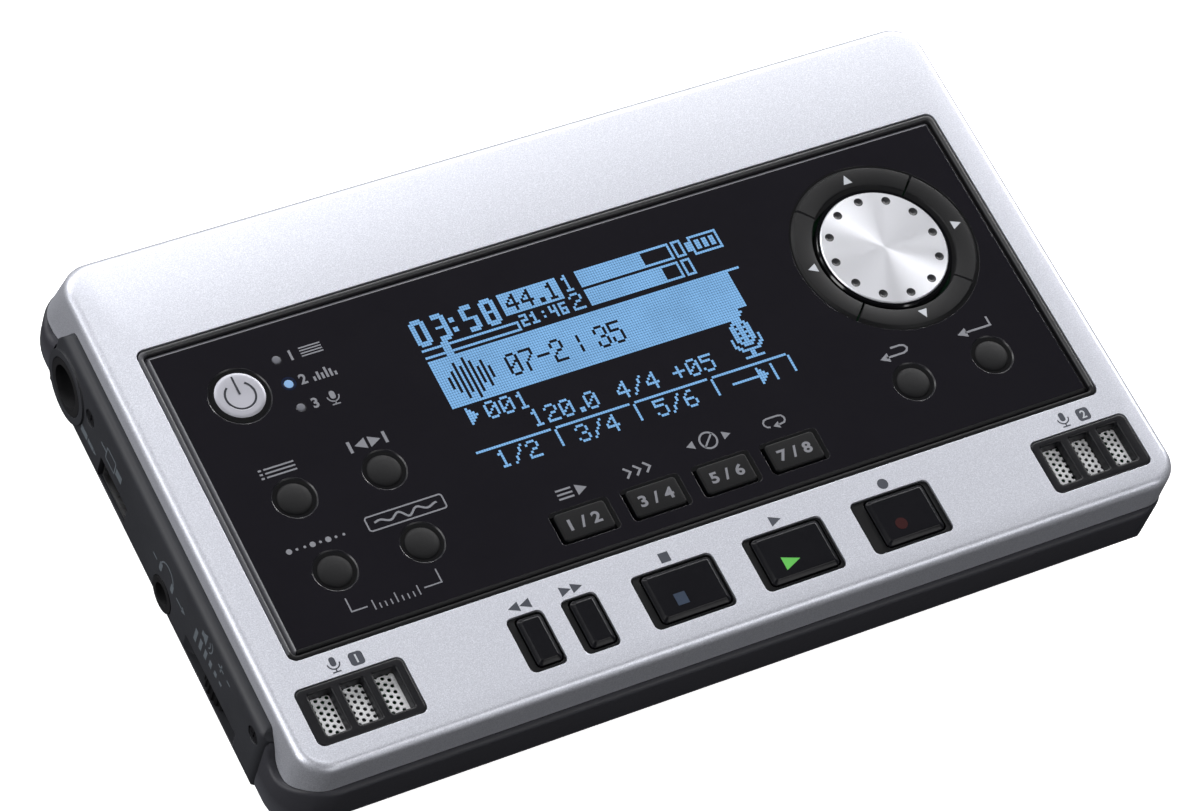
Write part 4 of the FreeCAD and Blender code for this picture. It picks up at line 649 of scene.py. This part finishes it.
FONT5 = {
    "0": "01110 10001 10011 10101 11001 10001 01110", "1": "00100 01100 00100 00100 00100 00100 01110",
    "2": "01110 10001 00001 00110 01000 10000 11111", "3": "01110 10001 00001 00110 00001 10001 01110",
    "4": "00010 00110 01010 10010 11111 00010 00010", "5": "11111 10000 11110 00001 00001 10001 01110",
    "6": "00110 01000 10000 11110 10001 10001 01110", "7": "11111 00001 00010 00100 01000 01000 01000",
    "8": "01110 10001 10001 01110 10001 10001 01110", "9": "01110 10001 10001 01111 00001 00010 01100",
    ":": "00000 00100 00100 00000 00100 00100 00000", ".": "00000 00000 00000 00000 00000 01100 01100",
    "-": "00000 00000 00000 11111 00000 00000 00000", "/": "00001 00010 00010 00100 01000 01000 10000",
    "+": "00000 00100 00100 11111 00100 00100 00000", " ": "00000 00000 00000 00000 00000 00000 00000",
}
FONT3 = {"0": "111 101 101 101 111", "1": "010 110 010 010 111", "2": "111 001 111 100 111", "3": "111 001 111 001 111",
         "4": "101 101 111 001 001", "5": "111 100 111 001 111", "6": "111 100 111 101 111", "7": "111 001 010 010 010",
         "8": "111 101 111 101 111", "9": "111 101 111 001 111", ":": "000 010 000 010 000", ".": "000 000 000 000 010",
         "-": "000 000 111 000 000", " ": "000 000 000 000 000"}


def put(font, text, c, r, v=1, sx=1, sy=1, gap=1):
    for ch in text:
        rows = font[ch].split()
        for j, line in enumerate(rows):
            for i, b in enumerate(line):
                if b == "1":
                    fill(c + i * sx, r + j * sy, c + i * sx + sx - 1, r + j * sy + sy - 1, v)
        c += (len(rows[0]) * sx + gap) if ch not in ":." else (len(rows[0]) * sx + gap - (2 if len(rows[0]) == 5 else 0))
    return c


def art(lines, c, r, v=1):
    for j, line in enumerate(lines):
        for i, ch in enumerate(line):
            if ch == "#":
                dot(c + i, r + j, v)


def big_digit(ch, c, r):
    """Heavy numerals, two dots thick, six wide and eleven tall."""
    seg = {"0": "abcdef", "1": "bc", "2": "abged", "3": "abgcd", "4": "fgbc", "5": "afgcd", "6": "afgedc", "7": "abc", "8": "abcdefg", "9": "abcdfg"}[ch]
    if "a" in seg: fill(c + 1, r, c + 4, r + 1)
    if "g" in seg: fill(c + 1, r + 5, c + 4, r + 5)
    if "d" in seg: fill(c + 1, r + 9, c + 4, r + 10)
    if "f" in seg: fill(c, r + 1, c + 1, r + 5)
    if "b" in seg: fill(c + 4, r + 1, c + 5, r + 5)
    if "e" in seg: fill(c, r + 5, c + 1, r + 9)
    if "c" in seg: fill(c + 4, r + 5, c + 5, r + 9)


# counter, boxed rate, small counter, place bar
for ch, c in (("0", 0), ("3", 8), ("5", 20), ("8", 28)):
    big_digit(ch, c, 0)
fill(15, 3, 16, 4)
fill(15, 7, 16, 8)
fill(36, 0, 59, 8)
put(FONT5, "44.1", 38, 1, 0)
put(FONT3, "21:46", 40, 10)
fill(0, 12, 38, 12)
fill(0, 15, 38, 15)
fill(38, 12, 38, 15)
fill(8, 11, 10, 16)
# level bars with their channel numbers
put(FONT5, "1", 61, 0, 1, 1, 1)
put(FONT5, "2", 61, 8, 1, 1, 1)
for r0, full in ((0, 94), (8, 99)):
    outline(68, r0, 106, r0 + 6)
    fill(69, r0 + 1, full, r0 + 5)
    outline(108, r0, 111, r0 + 6)
# cell sign
outline(115, 0, 126, 7)
fill(113, 2, 114, 5)
for c in (117, 120, 123):
    fill(c, 2, c + 1, 5)
# lit band: dark wave picture and a number; its lower right corner is cut off
fill(0, 17, 122, 36)
fill(0, 17, 127, 17)
for i in range(5):
    fill(122 - (4 - i), 36 - i, 122, 36 - i, 0) if i < 4 else None
for i in range(4):
    fill(119 + i, 33 + i, 122, 33 + i, 0)
hgts = [2, 4, 7, 5, 8, 6, 3, 5, 2]
for i, hh in enumerate(hgts):
    fill(4 + i * 2, 27 - hh, 4 + i * 2, 27 + hh, 0)
TALL = (0, 1, 1, 2, 3, 4, 5, 5, 6)
c = 27
for ch in "07-2 : 35":
    rows = FONT5[ch].split()
    for j, k in enumerate(TALL):
        for i, bit in enumerate(rows[k]):
            if bit == "1":
                dot(c + i, 23 + j, 0)
    c += 6 if ch != " " else 3
# patch number, tempo row
art(["#....", "##...", "###..", "####.", "###..", "##...", "#...."], 4, 38)
put(FONT5, "001", 11, 38)
put(FONT5, "120.0", 25, 46)
put(FONT5, "4/4", 60, 46)
put(FONT5, "+05", 83, 46)
# microphone sign
art(["......####......", ".....######.....", "....##.##.##....", "....########....", "....##.##.##....", "....########....", "....##.##.##....",
     "..#.########.#..", "..#.##.##.##.#..", "..#..######..#..", "..##..####..##..", "...##......##...", "....########....", ".......##.......",
     ".......##.......", "....########...."], 108, 37)
# tabs along the foot
for c0, c1 in ((0, 29), (32, 61), (64, 93), (96, 126)):
    fill(c0, 55, c1, 55)
for c in (31, 63, 95, 127):
    fill(c, 56, c, 62)
for c, t in ((6, "1/2"), (38, "3/4"), (70, "5/6")):
    put(FONT5, t, c, 57)
fill(102, 60, 114, 60)
art(["#...", "##..", "###.", "####", "###.", "##..", "#..."], 113, 57)
fill(119, 57, 119, 63)

PX0, PY0, PITX, PITY = -25.4, 16.45, 0.379, 0.3938
bm = bmesh.new()
gap = 0.022
for r in range(ROWS):
    for c in range(COLS):
        if grid[r][c]:
            x0 = PX0 + c * PITX + gap
            y1 = PY0 - r * PITY - gap
            prism(bm, rect(x0, y1 - PITY + 2 * gap, x0 + PITX - 2 * gap, y1), ZW, ZW + 0.012, top_warp)
piece("display_dots", bm, "chassis", "lcd")

# --------------------------------------------------------------- key prints
KEY_TOP = 21.4
for body, x, label in (("track_button_1_2", -16.05, "1 / 2"), ("track_button_3_4", -5.1, "3 / 4"), ("track_button_5_6", 5.85, "5 / 6"), ("track_button_7_8", 16.5, "7 / 8")):
    ink(body + "_print", [], KEY_TOP, body, "grey_ink", 0.015, texts=[(label, x, -19.8, 1.75, 0.03, 1.18)])
DX, DY = 44.8, 5.75
DIMPLE_TURN = 0.0


def ring_warp(x, y, z):
    """Follows the gentle slope of the cursor key tops."""
    r_ = math.hypot(x - DX, y - DY)
    top_ = 21.48 + (min(r_, 12.6) - 10.9) / 1.7 * 0.12
    return (x * MM, y * MM, (top_ + z + 0.002) * MM)


for body, a in (("cursor_right_key", 0), ("cursor_up_key", 90), ("cursor_left_key", 180), ("cursor_down_key", 270)):
    ca, sa = math.cos(math.radians(a)), math.sin(math.radians(a))
    pts = [(12.55, 0.0), (11.15, 0.7), (11.15, -0.7)]
    ink(body + "_print", [tri(*[(DX + x * ca - y * sa, DY + x * sa + y * ca) for x, y in pts])], 0.0, body, "arrow_ink", 0.02, warp=ring_warp)
# painted highlight: a pale arc under the power sign's lower edge
ink("power_sign_lip", [stroke(circ(-51.8, 13.05, 2.08, 32, 205, 345), 0.2)], 21.555, "power_button", "pale_ink", 0.05)
ink("power_sign", [stroke(circ(-51.75, 13.2, 2.1, 40, 128, 412), 0.29), rect(-51.89, 13.4, -51.61, 16.25)], 21.56, "power_button", "sign_ink", 0.05)

# transport signs on the cover
top = []
for x0, x1, sgn in ((-32.1, -28.7, -1), (-24.3, -20.9, 1)):
    for k in range(2):
        w = (x1 - x0) / 2
        a = x0 + k * w
        top.append(tri((a, -28.65), (a + w * 0.96, -29.4), (a + w * 0.96, -27.9)) if sgn < 0 else tri((a + w * 0.96, -28.65), (a, -27.9), (a, -29.4)))
top.append(rect(-9.25, -29.4, -7.75, -27.9))
top.append(tri((7.8, -29.45), (9.5, -28.65), (7.8, -27.85)))
top.append(disc(25.6, -28.65, 0.8, 28))
for sx, num in ((-1, "1"), (1, "2")):
    cx = -57.3 if sx < 0 else 55.2
    top += [rrect(cx - 0.42, -28.4, cx + 0.42, -27.0, 0.4), stroke(circ(cx, -27.95, 0.85, 12, 180, 360), 0.2), rect(cx - 0.1, -29.2, cx + 0.1, -28.75), rect(cx - 0.6, -29.35, cx + 0.6, -29.15)]
    top.append([rr_loop(cx + 2.2, -29.3, cx + 4.2, -27.3, 0.5)])
ink("cover_print", top, ZT, "chassis", "dark_ink", 0.012)
ink("mic_numerals", [], ZT + 0.012, "chassis", "arrow_ink", 0.01, texts=[("1", -57.3 + 3.2, -28.3, 1.25, 0.02), ("2", 55.2 + 3.2, -28.3, 1.25, 0.02)])

# lamps
bm = bmesh.new()


def lens(bm, x, y, z0, z1, r, n=28):
    rings_ = [(r, z0), (r, z1 - 0.12), (r * 0.86, z1 - 0.03), (r * 0.55, z1)]
    vs = [[bm.verts.new(((x + q * math.cos(2 * math.pi * i / n)) * MM, (y + q * math.sin(2 * math.pi * i / n)) * MM, z * MM)) for i in range(n)] for q, z in rings_]
    for a, b in zip(vs, vs[1:]):
        for i in range(n):
            bm.faces.new((a[i], a[(i + 1) % n], b[(i + 1) % n], b[i]))
    bm.faces.new(vs[-1])
    bm.faces.new(vs[0][::-1])


for y in (16.9, 9.0):
    lens(bm, -44.7, y, 17.6, 21.3, 0.65)
off = piece("lamps_off", bm, "chassis", "lens", True)
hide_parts("status_leds")
bm = bmesh.new()
lens(bm, -44.7, 12.9, 17.6, 21.3, 0.65)
on = piece("lamp_lit", bm, "chassis", "blue_lamp", True)
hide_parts("status_leds")
# painted glow: a dark blue ring of light painted on the window round the lit lamp
ink("lamp_halo", [hoop(-44.7, 12.9, 0.9, 0.3, 36)], ZW, "chassis", "halo", 0.01)

# --------------------------------------------------- transport caps and lights
def stack(bm, levels):
    """Closed solid through outlines of equal point count, given as (outline, z), from the bottom to the top."""
    rings_ = [[bm.verts.new((x * MM, y * MM, z * MM)) for x, y in loop] for loop, z in levels]
    n = len(rings_[0])
    for a, b in zip(rings_, rings_[1:]):
        for i in range(n):
            bm.faces.new((a[i], a[(i + 1) % n], b[(i + 1) % n], b[i]))
    bm.faces.new(rings_[0][::-1])
    bm.faces.new(rings_[-1])


CAP_TOP = 21.975
for body, x0, x1 in (("rewind_button", -31.85, -28.2), ("forward_button", -23.9, -20.2), ("stop_button", -13.1, -2.65), ("play_button", 3.75, 14.15), ("record_button", 21.7, 30.75)):
    y0, y1 = -37.7, -30.4
    lv = [(rr_loop(x0 - 0.5, y0 - 0.5, x1 + 0.5, y1 + 0.5, 0.9, 6), 18.9), (rr_loop(x0 - 0.5, y0 - 0.5, x1 + 0.5, y1 + 0.5, 0.9, 6), 19.35),
          (rr_loop(x0, y0, x1, y1, 0.62, 6), 19.36), (rr_loop(x0, y0, x1, y1, 0.62, 6), 21.36)]
    for k in range(1, 5):
        a = math.radians(90 * k / 5)
        e = 0.14 * (1 - math.cos(a))
        lv.append((rr_loop(x0 + e, y0 + e, x1 - e, y1 - e, 0.62 - 0.5 * e, 6), 21.36 + 0.14 * math.sin(a)))
    for e, z in ((0.2, 21.55), (0.5, 21.88), (0.58, 21.945), (0.68, CAP_TOP - 0.003), (0.8, CAP_TOP)):
        lv.append((rr_loop(x0 + e, y0 + e, x1 - e, y1 - e, max(0.12, 0.62 - 0.6 * e), 6), z))
    bm = bmesh.new()
    stack(bm, lv)
    cap = piece(body + "_cap", bm, body, "cap", True)
    e_ = cap.modifiers.new("edges", "EDGE_SPLIT")
    e_.split_angle = math.radians(40)
    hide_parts(body)
ink("stop_light", [rect(-10.2, -36.1, -8.5, -34.3)], CAP_TOP - 0.01, "stop_button", "stop_light", 0.03)
ink("play_light", [tri((6.4, -36.3), (8.95, -35.2), (6.4, -34.25))], CAP_TOP - 0.01, "play_button", "play_light", 0.03)
ink("record_light", [disc(24.9, -35.2, 0.88, 36)], CAP_TOP - 0.01, "record_button", "rec_light", 0.03)

# ------------------------------------------------------------- dial dimples
M["dimple"] = plastic("dimple_metal", (24, 24, 28), 0.42, 0.35, 0.06, 2500, 0.000001, 0.05)
bm = bmesh.new()
RD, DEEP = 0.66, 0.27
RS = (RD * RD + DEEP * DEEP) / (2 * DEEP)
for k in range(12):
    a = math.radians(k * 30 + DIMPLE_TURN)
    cx, cy = DX + 7.95 * math.cos(a), DY + 7.95 * math.sin(a)
    n = 20
    upper, lower = [], []
    for j in range(1, 6):
        r_ = RD * j / 5
        z_ = 21.352 - DEEP + (RS - math.sqrt(RS * RS - r_ * r_))
        upper.append([bm.verts.new(((cx + r_ * math.cos(2 * math.pi * i / n)) * MM, (cy + r_ * math.sin(2 * math.pi * i / n)) * MM, (z_ if j < 5 else 21.352) * MM)) for i in range(n)])
        lower.append([bm.verts.new(((cx + r_ * math.cos(2 * math.pi * i / n)) * MM, (cy + r_ * math.sin(2 * math.pi * i / n)) * MM, ((z_ if j < 5 else 21.352) - 0.02) * MM)) for i in range(n)])
    ct = bm.verts.new((cx * MM, cy * MM, (21.352 - DEEP) * MM))
    cl = bm.verts.new((cx * MM, cy * MM, (21.352 - DEEP - 0.02) * MM))
    for i in range(n):
        i2 = (i + 1) % n
        bm.faces.new((ct, upper[0][i], upper[0][i2]))
        bm.faces.new((cl, lower[0][i2], lower[0][i]))
        for j in range(4):
            bm.faces.new((upper[j][i], upper[j + 1][i], upper[j + 1][i2], upper[j][i2]))
            bm.faces.new((lower[j][i], lower[j][i2], lower[j + 1][i2], lower[j + 1][i]))
        bm.faces.new((upper[4][i], lower[4][i], lower[4][i2], upper[4][i2]))
piece("dial_dimples", bm, "jog_dial", "dimple", True)


# ------------------------------------------------------- print on the left side
def left_warp(u, v, w):
    return (-(69.0 + w) * MM, -u * MM, v * MM)


side = []
# volume: speaker sign and a wedge of bars, taller to the rear
side += [rect(14.9, 14.7, 15.5, 15.7), tri((15.5, 14.7), (16.4, 14.0), (16.4, 16.4)), tri((15.5, 14.7), (16.4, 16.4), (15.5, 15.7)),
         stroke(circ(16.5, 15.2, 0.9, 8, -50, 50), 0.2), stroke(circ(16.5, 15.2, 1.6, 8, -50, 50), 0.2)]
side += [rect(20.0, 15.05, 21.6, 15.35), rect(20.65, 14.4, 20.95, 16.0), rect(22.6, 15.05, 23.6, 15.35)]
for i in range(6):
    h_ = 2.6 - i * 0.42
    side.append(rect(13.4 + i * 1.55, 12.4 - h_ / 2, 14.15 + i * 1.55, 12.4 + h_ / 2))
# phones: headband with two cups
side += [stroke(circ(4.4, 12.6, 1.9, 16, 10, 170), 0.24), rrect(2.2, 11.2, 3.0, 13.0, 0.3), rrect(5.8, 11.2, 6.6, 13.0, 0.3)]
side += [stroke([(0.2, 12.0), (1.4, 12.0)], 0.24), stroke([(7.6, 12.0), (9.6, 12.0)], 0.24), tri((9.4, 11.4), (10.4, 12.0), (9.4, 12.6))]
# data socket: plain plug outline
side += [frame_shape(-15.6, 11.6, -12.6, 14.2, 0.3, 0.24), rect(-12.4, 12.2, -10.6, 13.6), rect(-17.2, 12.75, -15.6, 13.05)]
# input: plug tip
side += [rect(-22.6, 8.0, -20.6, 9.2), rect(-20.4, 8.2, -18.6, 9.0), tri((-18.5, 8.2), (-17.7, 8.6), (-18.5, 9.0))]
ink("side_print", side, 0.0, "chassis", "side_ink", 0.015, warp=left_warp)

# ------------------------------------------------------------------- stage
bm = bmesh.new()
N = 40
size = 6.0
vs = [[bm.verts.new((-size + 2 * size * i / N, -size + 2 * size * j / N, 0.0)) for i in range(N + 1)] for j in range(N + 1)]
for j in range(N):
    for i in range(N):
        bm.faces.new((vs[j][i], vs[j][i + 1], vs[j + 1][i + 1], vs[j + 1][i]))
me = bpy.data.meshes.new("floor")
bm.to_mesh(me)
bm.free()
floor = bpy.data.objects.new("floor", me)
coll.objects.link(floor)
fm = Mat("floor_white")
fn = fm.noise(3.0, 2.0)
fm.set(color=fm.ramp(fn, [(0.3, (0.86, 0.86, 0.87, 1)), (0.7, (0.88, 0.88, 0.89, 1))]), rough=0.9, spec=0.1, emit_color=(1.0, 1.0, 1.0, 1.0), emit=0.85)
me.materials.append(fm.m)
floor.visible_glossy = False
floor.visible_diffuse = False

world = bpy.data.worlds.new("studio")
scene.world = world
world.use_nodes = True
wt = world.node_tree
bg = wt.nodes["Background"]
bg.inputs[0].default_value = (1.0, 1.0, 1.0, 1.0)
bg.inputs[1].default_value = 0.008


def softbox(name, az, el, dist, w, h, power, color=(1, 1, 1)):
    """Area light in the direction az (from +X towards +Y) and el, facing the recorder."""
    d = bpy.data.lights.new(name, "AREA")
    d.shape = "RECTANGLE"
    d.size, d.size_y = w, h
    d.energy = power
    d.color = color
    o = bpy.data.objects.new(name, d)
    coll.objects.link(o)
    a, e = math.radians(az), math.radians(el)
    pos = Vector((math.cos(a) * math.cos(e), math.sin(a) * math.cos(e), math.sin(e))) * dist
    o.location = pos
    o.rotation_euler = (-pos).to_track_quat("-Z", "Y").to_euler()
    o.visible_camera = False
    return o


# a wide low bank of light behind the recorder, as panels (azimuth, elevation, brightness)
PANELS = [(30, 20, 7.568), (60, 20, 3.381), (180, 8, 2.787), (45, 20, 2.628), (120, 20, 2.3), (120, 33, 2.135), (180, 33, 2.080), (165, 20, 1.2), (150, 20, 1.3),
          (75, 20, 1.901), (75, 33, 1.719), (105, 33, 1.689), (180, 20, 1.530), (300, 40, 1.501), (75, 47, 1.119), (90, 47, 1.013), (0, 90, 1.002),
          (180, 47, 0.698), (270, 14, 0.680)]
REACH = 0.85
for az, el, level in PANELS:
    rear = az < 200 and el < 50
    wide = max(0.3, 2 * math.pi * REACH * math.cos(math.radians(el)) / (24 if rear else 12 if el < 50 else 6)) if el < 80 else 0.36
    tall = REACH * math.radians(12.5 if rear else 25)
    softbox("panel_%d_%d" % (az, el), az, el, REACH, wide, tall, 10.0 * wide * tall * level)

scene.view_settings.view_transform = "Standard"
scene.view_settings.look = "None"
scene.view_settings.exposure = 0.0
scene.view_settings.gamma = 1.0
scene.cycles.use_denoising = True
scene.cycles.max_bounces = 6
scene.cycles.sample_clamp_indirect = 4.0
